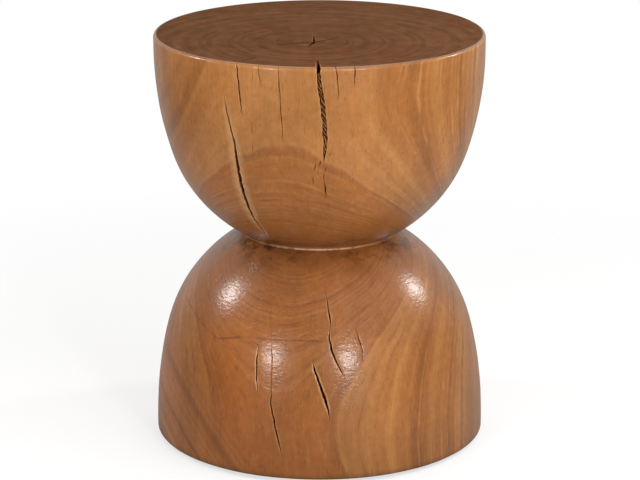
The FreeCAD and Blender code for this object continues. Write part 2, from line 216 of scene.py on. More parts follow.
def newMaterial(name):
    material = bpy.data.materials.new(name)
    material.use_nodes = True
    return material, NodeBench(material.node_tree)


def finishMaterial(bench, look, **wires):
    # look holds the numbers that are alike all over the surface
    shader = bench.add("ShaderNodeBsdfPrincipled", **wires)
    for name, amount in look.items():
        shader.inputs[name].default_value = amount
    bench.add("ShaderNodeOutputMaterial", Surface=bench.take(shader))


# The wood of the log

# rings round the heart, fibres and pores along it, all read from the place in the
# log, so that the two blocks and every cut face agree
logWood = {
    "heart": (-15.5 * mm, -51 * mm),  # where the heart of the log is, at the waist
    "waistHeight": 230.5 * mm,
    "leanAbove": (0.033, -0.015),  # how far the heart leans per metre, over the waist
    "leanBelow": (0.0, 0.084),  # and under it
    "widenBelow": 0.38,  # how much wider the rings run at the left, per metre under it
    "strays": ((6 * mm, 9.0), (3.2 * mm, 27.0)),  # how far rings stray, in waves of what size
    "ringReach": 250 * mm,
    "heartwood": 112 * mm,  # how far out the dark heartwood goes
    "heartwoodFades": (8 * mm, 12 * mm),  # over what width its dark and its pale lines end
    "paleWood": (130 * mm, 165 * mm),  # where the rings show again outside it
    "quiet": 0.35,  # how much they show between the two
    "loudSide": (25 * mm, 70 * mm),  # how far to the right they show in full everywhere
    "bands": (  # ring radius as a share of the reach, and the wood's colour there
        (0.00, "a3602a"),
        (0.20, "ae682c"),
        (0.40, "b36e31"),
        (0.456, "b26d30"),
        (0.467, "a2602b"),
        (0.472, "bc7c42"),
        (0.50, "bc7d44"),
        (0.55, "b5743d"),
        (0.62, "b1713b"),
        (0.68, "bb7c42"),
        (0.76, "b1703a"),
        (0.86, "ba7a42"),
        (1.00, "b4743e"),
    ),
    "darkRing": "7c4520",
    "paleRing": "cb9052",
    "poreColour": "4b2612",
    "endGrain": "6c4c39",
    "redderEndGrain": "70422b",
    "endGrainShare": 0.7,
    "endGrainShade": 0.4,
    # the dark brown of the waist, partly stain and partly painted shade in its crease, also drawn
    # along a ring's edge
    "stainAndShadeBrown": "4a220e",
    # the pale line at the waist: partly glue, partly a painted highlight on the edges there
    "paleGlueAndHighlight": "d8ae90",
    "checkInside": "7c4023",
    # painted shade: the dark deep in the checks and the star, also on the darker lips of the star's
    # other arms
    "checkDeep": "33190b",
    # pale lips of the checks: partly wear, partly a painted highlight on their rounded edges
    "lipWearAndHighlightColour": "d6a672",
    "crazing": "5a3018",
    "crazedAbove": (105 * mm, 150 * mm),
    "crazedBelow": (228 * mm, 212 * mm),
    "waistDarkReach": 27 * mm,  # how far from the waist the stain and painted shade go
    "waistDarkSides": (15 * mm, 50 * mm),  # how far from the middle it grows to its full strength
    "glueAndHighlightLine": (0.5 * mm, 1.2 * mm),
    "glueAndHighlightSides": (12 * mm, 62 * mm),  # how far from the middle the pale line fades
    "starAbove": (200 * mm, 205 * mm),  # only end faces so far over the waist hold the star
    "wallsFrom": (0.1 * mm, 0.9 * mm),  # how deep in a check its inside colour starts
    # painted shade in a check and in the star starts here and is darkest below
    "darkFrom": (1.0 * mm, 0.2 * mm),  # where it darkens, in a check and in the star
    "darkTo": (13 * mm, 1.0 * mm),  # and where it is darkest
    "relief": 0.9 * mm,
    "filmWaves": 0.43 * mm,
    "roughness": (0.38, 0.5),
    "shade": 1.0,
    "tint": (1.0, 1.0, 1.0),
    "footShade": 1.0,
    "footReach": (8 * mm, 75 * mm),
    "soleShade": 0.7,  # the last few millimetres over the floor
    "soleReach": (5 * mm, 13 * mm),
    # painted shade: the seat's left, where less light falls, made darker in a patch
    "patch": (-128 * mm, -108 * mm, 310 * mm),  # where the wood is darker at the left
    "patchReach": 125 * mm,
    "patchTint": (0.86, 0.83, 0.79),
    "flames": {  # streaks that slant down to the left, at the left of the rim
        "strength": 0.52,
        "slant": -0.42,
        "across": (-258 * mm, -298 * mm),
        "within": (300 * mm, 345 * mm),
        "inFront": (0.0, -45 * mm),
        "dark": -308 * mm,  # where one broad dark streak runs
        "darkWidth": (1 * mm, 8 * mm),
        "ground": "b06f36",
    },
}

# the lower block is darker, partly its own tone and partly painted shade for the light that falls
# off towards the floor, most of all at its foot, and in a patch at its left, partly its own tone
# and partly painted shade where less light falls
darkerWood = {
    **logWood,
    # partly the block's own tone, partly painted shade for the dimmer light low down
    "shade": 0.77,
    "tint": (0.99, 0.93, 0.81),
    "quiet": 0.9,
    # painted shade: darker towards the floor, where less light reaches
    "footShade": 0.88,
    # a darker patch at the left: partly the wood's own tone, partly painted shade
    "patch": (-130 * mm, -120 * mm, 70 * mm),
    "patchReach": 190 * mm,
    "patchTint": (0.92, 0.81, 0.66),
    "flames": {  # streaks that slant down to the right, at the left of the foot
        **logWood["flames"],
        "strength": 1.0,
        "slant": 0.79,
        "across": (-50 * mm, -75 * mm),
        "within": (135 * mm, 95 * mm),
        "dark": -85.5 * mm,
        "ground": "b0713a",
    },
    "ringEdge": {  # a thin dark ring's edge across the front, dipping at the left
        "height": 151 * mm,
        "bends": ((-70 * mm, -118 * mm, -11 * mm), (-104 * mm, -152 * mm, 24 * mm)),
        "end": (16 * mm, 4 * mm),
        "inFront": (-25 * mm, -60 * mm),
        "width": (0.2 * mm, 1.6 * mm),
    },
}
lacquer = {"Specular IOR Level": 0.15, "Coat Weight": 0.8, "Coat Roughness": 0.25}
dryEndGrain = {"Specular IOR Level": 0.0}


def slantingFlames(look, across, height, colour):
    flames = look["flames"]
    slanted = height.times(flames["slant"], across[0])
    where = slanted.rescale(*flames["across"], 0.0, flames["strength"])
    where *= height.rescale(*flames["within"])
    where *= across[1].rescale(*flames["inFront"])
    colour = colour.towards(flames["ground"], where * 0.75)
    streaks = slanted.lines(75.0, 3.0, 0.65)
    colour = colour.towards(look["darkRing"], streaks.rescale(0.54, 0.74, 0.0, 0.5) * where)
    colour = colour.towards(look["paleRing"], streaks.rescale(0.5, 0.32, 0.0, 0.65) * where)
    line = abs(slanted - flames["dark"]).rescale(*flames["darkWidth"], 0.45, 0.0)
    return colour.towards(look["darkRing"], line * where)


def darkRingEdge(look, place, colour):
    edge = look["ringEdge"]
    side, front, height = place.split()
    for start, end, rise in edge["bends"]:
        height -= side.rescale(start, end, 0.0, rise)
    line = abs(height - edge["height"]).rescale(*edge["width"], 0.5, 0.0)
    line *= place.cloud(60.0, 3.0, 0.6, seed=15.0).rescale(0.42, 0.6, 0.15, 1.0)
    line *= side.rescale(*edge["end"])
    line *= front.rescale(*edge["inFront"])
    return colour.towards(look["stainAndShadeBrown"], line)


def ringsAround(look, across, above):
    # how far a place is from the heart of the log, which leans
    over, under = above.sum("MAXIMUM", 0.0), above.sum("MINIMUM", 0.0)
    sides = []
    for axis in (0, 1):
        heart = over.times(look["leanAbove"][axis], look["heart"][axis])
        sides.append(across[axis] - under.times(look["leanBelow"][axis], heart))
    left = sides[0].sum("LESS_THAN", 0.0)
    sides[0] *= under * look["widenBelow"] * left + 1.0
    return (sides[0] * sides[0] + sides[1] * sides[1]).sum("SQRT")


def ringLines(look, rings, across, squeezed, colour):
    # broad soft rings, then finer lines inside them
    heartwood = look["heartwood"]
    darkEnd, paleEnd = [heartwood + width for width in look["heartwoodFades"]]
    broad = rings.lines(95.0, 2.0, 0.6)
    calm = rings.rescale(heartwood, paleEnd, 0.42, 1.0)
    quiet = rings.rescale(*look["paleWood"], look["quiet"], 1.0)
    quiet = quiet.sum("MAXIMUM", across[0].rescale(*look["loudSide"]))
    marked = rings.rescale(heartwood, darkEnd, 1.0, 0.0).sum("MAXIMUM", quiet)
    colour = colour.towards(look["darkRing"], broad.rescale(0.55, 0.75, 0.0, 0.34) * quiet)
    colour = colour.towards(look["paleRing"], broad.rescale(0.45, 0.25, 0.0, 0.36) * quiet)
    fine = rings.lines(420.0, 3.0, 0.65)
    broken = squeezed.cloud(55.0, 3.0, 0.6, seed=8.0).rescale(0.38, 0.62, 0.15, 1.0)
    dark = fine.rescale(0.54, 0.72, 0.0, 0.4) * broken * marked
    colour = colour.towards(look["darkRing"], dark)
    light = fine.rescale(0.5, 0.34, 0.0, 0.7) * broken * calm * marked
    colour = colour.towards(look["paleRing"], light)
    return colour, {"broad": broad, "fine": fine, "broken": broken}


def ringDashes(bench, look, rings, across, height, colour):
    # short dashes that lie along the rings
    lying = {"X": rings * 820.0, "Y": across[0] * 32.0, "Z": across[1] * 32.0}
    dashes = bench.get("ShaderNodeCombineXYZ", **lying).cloud(1.0, seed=height * 40.0)
    darkEnd = look["heartwood"] + look["heartwoodFades"][0]
    dark = rings.rescale(look["heartwood"], darkEnd, 0.36, 0.1)
    colour = colour.towards(look["darkRing"], dashes.rescale(0.58, 0.7, 0.0, dark))
    return colour.towards(look["paleRing"], dashes.rescale(0.42, 0.28, 0.0, 0.2))


def crazedFilm(bench, look, place, strayed):
    # a few fine crossing lines in the finish
    toEdge = {"feature": "DISTANCE_TO_EDGE"}
    craze = bench.get("ShaderNodeTexVoronoi", toEdge, "Distance", Vector=strayed, Scale=48.0)
    crazing = craze.rescale(0.004, 0.016, 1.0, 0.0)
    crazing *= place.cloud(20.0, seed=6.0).rescale(0.45, 0.6)
    height = place.split()[2]
    crazing *= height.rescale(*look["crazedAbove"])
    return crazing * height.rescale(*look["crazedBelow"])


def logFigure(bench, look):
    # the wood's colour, and how its rings, fibres and pores lie, at a place in the log
    place = bench.coordinates()
    squeezed = place.stretched(1.0, 1.0, 0.35)
    strayed = place
    for reach, size in look["strays"]:
        stray = bench.get("ShaderNodeTexNoise", output="Color", Vector=squeezed, Scale=size)
        centred = stray.vector("SUBTRACT", (0.5, 0.5, 0.5))
        strayed = strayed.vector("ADD", centred.scaled(reach))
    across = strayed.split()
    height = place.split()[2]
    above = height - look["waistHeight"]
    rings = ringsAround(look, across, above)
    colour = rings.sum("DIVIDE", look["ringReach"]).ramp(look["bands"])
    colour, lines = ringLines(look, rings, across, squeezed, colour)
    colour = ringDashes(bench, look, rings, across, height, colour)
    colour = slantingFlames(look, across, height, colour)
    if "ringEdge" in look:
        colour = darkRingEdge(look, strayed, colour)

    # fibres: long streaks along the log, in soft patches
    fibre = strayed.stretched(1.0, 1.0, 0.045).cloud(260.0, 3.0, 0.6)
    patches = squeezed.cloud(16.0, 3.0, 0.55, seed=4.0)
    mottle = strayed.cloud(130.0, 4.0, 0.65, seed=2.0)
    tone = fibre.rescale(0.3, 0.7, 0.94, 1.06) * patches.rescale(0.3, 0.7, 0.84, 1.13)
    colour = colour.scaled(tone * mottle.rescale(0.3, 0.7, 0.92, 1.08))

    # pores: short dark dashes along the grain, dots across it, and thin pale streaks
    pores = strayed.stretched(1.0, 1.0, 0.13).cloud(820.0, 1.0, 0.4)
    streaks = strayed.stretched(1.0, 1.0, 0.03).cloud(520.0, 1.0, 0.5, seed=9.0)
    colour = colour.towards(look["paleRing"], streaks.rescale(0.62, 0.74, 0.0, 0.35))
    return {
        **lines,
        "place": place,
        "above": above,
        "colour": colour,
        "fibre": fibre,
        "patches": patches,
        "pores": pores.rescale(0.65, 0.72),
        "crazing": crazedFilm(bench, look, place, strayed),
        "scuffs": place.cloud(130.0, 4.0, 0.7, seed=13.0),
    }


def shadedWood(look, figure):
    # darker towards the foot, as painted shade for the light that falls off towards the floor, and
    # darkest over the last few millimetres; darker in a patch at the left, partly the wood's own
    # tone and partly painted shade; and crazed
    height = figure["place"].split()[2]
    # painted shade towards the foot, and the last few millimetres darker still
    shade = height.rescale(*look["footReach"], look["footShade"], 1.0) * look["shade"]
    shade *= height.rescale(*look["soleReach"], look["soleShade"], 1.0)
    # the patch at the left: partly the wood's own tone, partly painted shade
    toPatch = figure["place"].vector("DISTANCE", look["patch"])
    tinted = figure["colour"].stretched(*look["patchTint"])
    colour = figure["colour"].towards(tinted, toPatch.rescale(0.0, look["patchReach"], 1.0, 0.0))
    colour = colour.scaled(shade).stretched(*look["tint"])
    return colour.towards(look["crazing"], figure["crazing"] * 0.4)


def darkerEndGrain(bench, look, figure, starWalls, colour):
    # end grain drinks more lacquer and goes darker, most of all on the flat top
    facing = bench.get("ShaderNodeNewGeometry", output="Normal").split()[2]
    shoulder = abs(facing).rescale(0.35, 0.95, 0.0, 0.4)
    flatTop = facing.rescale(0.93, 0.995).sum("MAXIMUM", starWalls)
    dark = colour.scaled(look["endGrainShade"])
    dark = dark.towards(look["endGrain"], look["endGrainShare"])
    rings = figure["broad"].rescale(0.35, 0.65, -0.2, 0.2)
    rings += figure["fine"].rescale(0.35, 0.65, 0.02, -0.02)
    rings = rings.times(figure["broken"], 1.0)
    blotches = figure["place"].cloud(48.0, 5.0, 0.65, seed=11.0)
    dark = dark.scaled(rings * blotches.rescale(0.3, 0.7, 0.86, 1.12))
    redder = figure["place"].cloud(30.0, 4.0, 0.6, seed=14.0).rescale(0.5, 0.66, 0.0, 0.4)
    dark = dark.towards(look["redderEndGrain"], redder)
    return colour.towards(dark, shoulder.sum("MAXIMUM", flatTop))


def waistStainAndShade(look, figure, colour):
    # darker around the waist, partly stain where the finish has gathered and partly painted shade
    # in the crease under the bowl, most at both sides of the front and the back; and in the middle
    # of them a pale line, partly the glued edges and partly a painted highlight along them
    fromMiddle = abs(figure["place"].split()[0])
    fromWaist = abs(figure["above"])
    # painted shade in the crease of the waist, together with the stain
    stainAndShadeBrown = fromWaist.rescale(0.0, look["waistDarkReach"], 0.85, 0.0)
    stainAndShadeBrown *= figure["place"].cloud(60.0, 4.0, 0.7).rescale(0.44, 0.62)
    stainAndShadeBrown *= fromMiddle.rescale(*look["waistDarkSides"], 0.45, 1.0)
    colour = colour.towards(look["stainAndShadeBrown"], stainAndShadeBrown)
    # painted highlight along the waist's edges, brightest at the front middle, with the pale glue
    pale = fromWaist.rescale(*look["glueAndHighlightLine"], 1.0, 0.0)
    pale *= fromMiddle.rescale(*look["glueAndHighlightSides"], 0.85, 0.12)
    pale *= figure["scuffs"].rescale(0.38, 0.56, 0.15, 1.0)
    return colour.towards(look["paleGlueAndHighlight"], pale)


def poresAndChecks(bench, look, figure, starWalls, colour):
    # pores, pale lips of the checks, partly worn and partly a painted highlight on their edges, and
    # their insides, darker the deeper they go as painted shade
    colour = colour.towards(look["poreColour"], figure["pores"] * 0.4)
    # paler lips: partly wear, partly painted highlight
    lip = bench.carried("lipShare")
    wearAndHighlight = lip.sum("MULTIPLY", figure["scuffs"].rescale(0.35, 0.6, 0.55, 1.3), clamp=True)
    colour = colour.towards(look["lipWearAndHighlightColour"], wearAndHighlight)
    colour = colour.towards(look["checkDeep"], lip.sum("MULTIPLY", -0.75, clamp=True))
    hollow = bench.carried("hollowDepth")
    inside = hollow.rescale(*look["wallsFrom"])
    colour = colour.towards(look["checkInside"], inside)
    # painted shade: darker the deeper a check or the star goes
    darkFrom = starWalls.rescale(0.0, 1.0, *look["darkFrom"])
    darkTo = starWalls.rescale(0.0, 1.0, *look["darkTo"])
    return colour.towards(look["checkDeep"], hollow.rescale(darkFrom, darkTo, 0.0, 0.75)), inside


def reliefAndWaves(figure):
    # dimples, fine ripples, raised fibres and open pores, and waves in the lacquer over them
    place = figure["place"]
    ripple = place.stretched(0.6, 0.6, 1.0).cloud(900.0)
    dimples = place.cloud(400.0, 3.0, 0.7, seed=3.0)
    relief = figure["pores"].times(-0.25, ripple * 0.14)
    relief = dimples.times(0.5, figure["fibre"].times(0.2, relief))
    relief = figure["crazing"].times(-0.1, relief)
    waves = place.stretched(0.4, 0.4, 1.0).cloud(430.0, 1.0, seed=12.0)
    return relief, figure["crazing"].times(-0.25, waves)


def lacqueredWood(name, look, finish):
    material, bench = newMaterial(name)
    figure = logFigure(bench, look)
    starWalls = bench.carried("endFace") * figure["above"].rescale(*look["starAbove"])
    colour = shadedWood(look, figure)
    colour = darkerEndGrain(bench, look, figure, starWalls, colour)
    colour = waistStainAndShade(look, figure, colour)
    colour, inside = poresAndChecks(bench, look, figure, starWalls, colour)
    relief, waves = reliefAndWaves(figure)
    roughness = figure["patches"].rescale(0.3, 0.7, *look["roughness"])
    wires = {
        "Base_Color": colour,
        "Roughness": inside.sum("MULTIPLY_ADD", 0.4, roughness, clamp=True),
        "Normal": relief.bump(0.6, look["relief"]),
        "Coat_Normal": waves.bump(0.6, look["filmWaves"]),
    }
    finishMaterial(bench, finish, **wires)
    return material


seatWood = lacqueredWood("lacqueredSeatWood", logWood, lacquer)
baseWood = lacqueredWood("lacqueredBaseWood", darkerWood, lacquer)
endWood = lacqueredWood("dryEndGrain", logWood, dryEndGrain)
baseEndWood = lacqueredWood("dryBaseEndGrain", darkerWood, dryEndGrain)
print("wood mixed")


# The outline of a block, as a maker draws it

# a bore for the centre dowel, the flat joint face, a land at the waist, a tight arc,
# a wide arc, a short upright wall and a small rounding into the flat far face
turnedShape = {
    "waistRadius": 86 * mm,
    "land": 1.2 * mm,
    "flank": 61.0,
    "rounding": 3.5 * mm,
    "boreRadius": 19.1 * mm,
    "boreDepth": 78 * mm,
}
seatShape = {
    **turnedShape,
    "node": "seat_block",
    "piece": "seatBlock",
    "slot": "seat_wood",
    "up": 1,
    "wall": 14 * mm,
    "turn": 17.8,
}
baseShape = {
    **turnedShape,
    "node": "base_block",
    "piece": "baseBlock",
    "slot": "base_wood",
    "up": -1,
    "wall": 14.5 * mm,
    "turn": 14.3,
}
for shape in (seatShape, baseShape):
    low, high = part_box(shape["node"])
    shape["radius"] = (high.x - low.x + high.y - low.y) / 4
    shape["joint"], shape["far"] = (low.z, high.z) if shape["up"] > 0 else (high.z, low.z)


def arcPoints(centre, radius, start, end, step):
    count = max(3, math.ceil(abs(end - start) * radius / step))
    turns = [start + (end - start) * i / count for i in range(count + 1)]
    return [(centre[0] + radius * math.cos(t), centre[1] + radius * math.sin(t)) for t in turns]


def blockOutline(shape, step=0.7 * mm):
    # points as (radius, height), and how far along each leg of the outline ends
    up, far, edge = shape["up"], shape["far"], shape["radius"]
    turn, flank = math.radians(shape["turn"]), math.radians(shape["flank"])
    rise = abs(far - shape["joint"]) - shape["wall"] - shape["land"]
    reach = edge - shape["waistRadius"]
    turnedIn = 1 - math.cos(turn)
    leftIn = math.cos(turn) - math.cos(flank)
    leftUp = math.sin(flank) - math.sin(turn)
    tight = reach * math.sin(turn) - rise * turnedIn
    tight /= leftIn * math.sin(turn) - leftUp * turnedIn
    wide = (reach - tight * leftIn) / turnedIn
    wideCentre = (edge - wide, far - up * shape["wall"])
    tightCentre = (
        wideCentre[0] + (wide - tight) * math.cos(turn),
        wideCentre[1] - up * (wide - tight) * math.sin(turn),
    )
    rounding = shape["rounding"]
    rimCentre = (edge - rounding, far - up * rounding)
    bore, deep = shape["boreRadius"], shape["joint"] + up * shape["boreDepth"]
    flankArc = arcPoints(tightCentre, tight, -up * flank, -up * turn, step)
    flankArc += arcPoints(wideCentre, wide, -up * turn, 0.0, step)[1:]
    legs = {
        "bore": [(0.0, deep), (bore, deep), (bore, shape["joint"])],
        "face": [(shape["waistRadius"], shape["joint"])],
        "flank": flankArc,
        "wall": [(edge, far - up * rounding)],
        "rim": arcPoints(rimCentre, rounding, 0.0, up * math.pi / 2, step / 3)[1:],
        "far": [(0.0, far)],
    }
    points, ends = [], {}
    for name, leg in legs.items():
        points += leg
        ends[name] = sum(math.dist(a, b) for a, b in zip(points, points[1:]))
    return points, ends


def drawOutline(name, points):
    curve = bpy.data.curves.new(name, "CURVE")
    curve.dimensions = "3D"
    spline = curve.splines.new("POLY")
    spline.points.add(len(points) - 1)
    for point, (radius, height) in zip(spline.points, points):
        point.co = (radius, 0.0, height, 1.0)
    return addObject(name, curve)


# The lathe, in geometry nodes


def geometryTree(name, ports, output):
    tree = bpy.data.node_groups.new(name, "GeometryNodeTree")
    for port, kind in ports.items():
        tree.interface.new_socket(port, in_out="INPUT", socket_type="NodeSocket" + kind)
    tree.interface.new_socket(output, in_out="OUTPUT", socket_type="NodeSocketGeometry")
    bench = NodeBench(tree)
    group = bench.add("NodeGroupInput")
    return tree, bench, {port: bench.take(group, port) for port in ports}


def latheTree():
    # each point of a sheet knows its bearing round the stool and its way along the
    # outline, and is swung out to its place, less its cut
    numbers = ("Unevenness", "Uneven Size", "Seed", "Sharp Angle")
    ports = {
        "Sheet": "Geometry",
        "Outline": "Object",
        **{name: "Float" for name in numbers},
        "Finish": "Material",
        "End Finish": "Material",
    }
    tree, bench, given = geometryTree("turnOnLathe", ports, "Block")
    outline = bench.get("GeometryNodeObjectInfo", output="Geometry", Object=given["Outline"])
    sampled = {"Curves": outline, "Length": bench.known("wayAlong")}
    spot = bench.get("GeometryNodeSampleCurve", {"mode": "LENGTH"}, "Position", **sampled).split()
    bearing = bench.known("bearing")
    outX = bearing.sum("SINE")
    outY = bearing.sum("COSINE") * -1.0

    def swung(radius, height):
        return bench.get("ShaderNodeCombineXYZ", X=outX * radius, Y=outY * radius, Z=height)

    unevenScale = bench.sum("DIVIDE", 1.0, given["Uneven Size"])
    uneven = swung(spot[0], spot[2]).cloud(unevenScale, 2.0, 0.45, seed=given["Seed"])
    uneven = (uneven - 0.5) * given["Unevenness"] * bench.known("handShare")
    cut = bench.known("cutAway", "FLOAT_VECTOR").split()
    place = swung(spot[0] + uneven - cut[0], spot[2] - cut[2])
    moved = bench.get("GeometryNodeSetPosition", Geometry=given["Sheet"], Position=place)
    smooth = bench.get("GeometryNodeSetShadeSmooth", Geometry=moved)
    edges = bench.get("GeometryNodeInputMeshEdgeAngle").sum("GREATER_THAN", given["Sharp Angle"])
    sharp = {"Geometry": smooth, "Selection": edges, "Shade_Smooth": False}
    crisp = bench.get("GeometryNodeSetShadeSmooth", {"domain": "EDGE"}, **sharp)
    real = bench.get("GeometryNodeRealizeInstances", Geometry=crisp)
    finished = {"Geometry": real, "Material": given["Finish"]}
    finished = bench.get("GeometryNodeSetMaterial", **finished)
    ends = bench.known("endFace").sum("GREATER_THAN", 0.25)
    ends = ends.sum("MAXIMUM", bench.known("hollowDepth").sum("GREATER_THAN", 0.1 * mm))
    ended = {"Geometry": finished, "Selection": ends, "Material": given["End Finish"]}
    bench.add("NodeGroupOutput", Block=bench.get("GeometryNodeSetMaterial", **ended))
    return tree


def keepShape(piece, modifier):
    # what a modifier makes of a piece, as a plain mesh
    ready = piece.evaluated_get(bpy.context.evaluated_depsgraph_get())
    made = bpy.data.meshes.new_from_object(ready)
    piece.modifiers.remove(modifier)
    piece.data = made


def runTree(piece, tree, values):
    modifier = piece.modifiers.new(tree.name, "NODES")
    modifier.node_group = tree
    for port in tree.interface.items_tree:
        if port.in_out == "INPUT" and port.name in values:
            modifier[port.identifier] = values[port.name]
    keepShape(piece, modifier)


# Drying checks

# each has stations down the grain: height in the block as a share from the waist to
# the far face, bearing in degrees from the front, and how open it is there, as a
# share of its width; its lips are worn down over a reach
hairline = {"depth": 3 * mm, "lipReach": 0.6 * mm, "lipDrop": 0.1 * mm, "fine": True}
deepHairline = {**hairline, "width": 0.95 * mm, "depth": 4 * mm, "lipReach": 0.8 * mm}
dottedLine = {**hairline, "lipReach": 0.4 * mm, "lipDrop": 0.05 * mm, "dotted": True}
seatChecks = {
    "front": {
        "width": 5.2 * mm, "depth": 24 * mm, "lipReach": 1.3 * mm, "lipDrop": 0.35 * mm,
        "paleLips": 0.5,
        "stations": (
            (1.00, -0.4, 0.70), (0.94, -0.1, 0.86), (0.87, 0.65, 0.94), (0.79, 1.25, 1.0),
            (0.72, 1.8, 0.95), (0.64, 2.0, 0.80), (0.585, 1.85, 0.55), (0.535, 1.45, 0.0),
            (0.45, 0.5, 0.0), (0.30, 1.2, 0.0),
        ),
    },
    "frontDots": {
        **dottedLine, "width": 1.5 * mm,
        "stations": (
            (1.00, 3.4, 0.0), (0.60, 4.3, 0.0), (0.54, 2.9, 0.7), (0.51, 2.2, 0.8),
            (0.47, 1.5, 0.8), (0.42, 1.9, 0.9), (0.37, 2.4, 1.2), (0.33, 3.4, 1.1),
            (0.29, 3.6, 0.0),
        ),
    },
    "sideDots": {
        **dottedLine, "width": 1.3 * mm,
        "stations": (
            (1.00, -4.6, 0.0), (0.60, -2.4, 0.0), (0.565, -0.9, 0.7), (0.51, -1.6, 1.1),
            (0.455, -2.4, 0.9), (0.39, -2.5, 0.0),
        ),
    },
    "longLeft": {
        "width": 4.0 * mm, "depth": 26 * mm, "lipReach": 9 * mm, "lipDrop": 1.1 * mm,
        "paleLips": 0.62,
        "stations": (
            (0.845, -33.4, 0.0), (0.77, -32.8, 0.32), (0.70, -32.0, 0.45), (0.60, -30.9, 0.6),
            (0.50, -31.0, 0.85), (0.40, -31.2, 1.0), (0.30, -31.1, 0.85), (0.20, -31.2, 0.6),
            (0.11, -30.4, 0.3), (0.07, -29.2, 0.0),
        ),
    },
    "rimLeft": {
        "width": 1.9 * mm, "depth": 14 * mm, "lipReach": 1.5 * mm, "lipDrop": 0.3 * mm,
        "paleLips": 0.2,
        "stations": (
            (1.00, -28.2, 0.6), (0.95, -27.9, 0.8), (0.88, -27.4, 1.0), (0.83, -27.0, 0.85),
            (0.785, -26.8, 0.5), (0.74, -26.5, 0.0),
        ),
    },
    "hairline": {
        **deepHairline,
        "stations": (
            (0.985, -13.45, 0.3), (0.92, -13.3, 1.0), (0.84, -12.9, 0.8), (0.76, -12.7, 1.0),
            (0.68, -12.5, 0.6), (0.64, -12.5, 0.0),
        ),
    },
    "hairlineRim": {
        **hairline, "width": 1.0 * mm,
        "stations": (
            (1.00, -20.5, 0.5), (0.98, -20.4, 1.0), (0.93, -19.8, 0.6), (0.89, -19.7, 0.0),
        ),
    },
    "hairlineLow": {
        **hairline, "width": 1.0 * mm, "dotted": True,
        "stations": (
            (1.00, -24.0, 0.0), (0.72, -23.6, 0.0), (0.65, -23.3, 1.0), (0.58, -23.8, 0.8),
            (0.52, -24.1, 0.0),
        ),
    },
    "hairlineFar": {
        **hairline, "width": 1.0 * mm,
        "stations": (
            (1.00, 11.5, 0.5), (0.98, 11.6, 1.0), (0.94, 11.4, 0.7), (0.90, 11.3, 0.0),
        ),
    },
    "dashLeft": {
        **dottedLine, "width": 1.1 * mm, "lipReach": 0.5 * mm, "lipDrop": 0.08 * mm,
        "stations": (
            (1.00, -2.6, 0.0), (0.62, -0.1, 0.0), (0.57, 0.5, 0.6), (0.535, 0.1, 1.0),
            (0.50, -0.5, 0.6), (0.47, -0.9, 0.0),
        ),
    },
    "hairlineRight": {
        **deepHairline, "lipDrop": 0.12 * mm,
        "stations": (
            (1.00, 5.3, 0.6), (0.96, 5.7, 1.0), (0.92, 5.95, 0.9), (0.87, 6.25, 0.5),
            (0.84, 6.3, 0.0),
        ),
    },
}
baseChecks = {
    "middle": {
        "width": 2.4 * mm, "depth": 8 * mm, "lipReach": 2.0 * mm, "lipDrop": 0.35 * mm,
        "paleLips": 0.4,
        "stations": (
            (0.13, 2.4, 0.0), (0.20, 3.6, 0.4), (0.247, 4.3, 0.8), (0.285, 4.65, 0.14),
            (0.305, 3.9, 0.1), (0.33, 3.7, 0.6), (0.36, 4.1, 0.85), (0.40, 4.85, 1.0),
            (0.44, 6.15, 0.8), (0.475, 7.6, 0.55), (0.515, 8.9, 0.0),
        ),
    },
    "broad": {
        "width": 3.0 * mm, "depth": 9 * mm, "lipReach": 2.6 * mm, "lipDrop": 0.45 * mm,
        "raisedLeft": 0.35 * mm, "paleLips": 0.6,
        "stations": (
            (0.43, -2.75, 0.0), (0.482, -1.55, 0.75), (0.541, 0.05, 0.9), (0.60, 1.75, 1.0),
            (0.647, 2.8, 0.75), (0.71, 3.6, 0.0),
        ),
    },
    "left": {
        "width": 1.8 * mm, "depth": 6 * mm, "lipReach": 2.0 * mm, "lipDrop": 0.3 * mm,
        "raisedLeft": 0.3 * mm, "paleLips": 0.6,
        "stations": (
            (0.37, -23.4, 0.0), (0.438, -23.6, 1.0), (0.531, -22.8, 0.95), (0.60, -22.1, 0.12),
            (0.68, -21.4, 0.1), (0.73, -20.0, 0.0),
        ),
    },
    "low": {
        "width": 2.2 * mm, "depth": 7 * mm, "lipReach": 1.8 * mm, "lipDrop": 0.3 * mm,
        "paleLips": 0.3,
        "stations": (
            (0.32, -19.0, 0.0), (0.43, -17.6, 0.18), (0.575, -17.0, 0.2), (0.63, -17.2, 0.7),
            (0.71, -15.9, 1.0), (0.79, -14.4, 0.85), (0.84, -13.5, 0.6), (0.90, -12.4, 0.0),
        ),
    },
    "hairline": {
        **deepHairline,
        "stations": (
            (0.30, 14.5, 0.0), (0.35, 15.2, 1.0), (0.395, 16.3, 1.0), (0.447, 16.1, 0.0),
        ),
    },
}

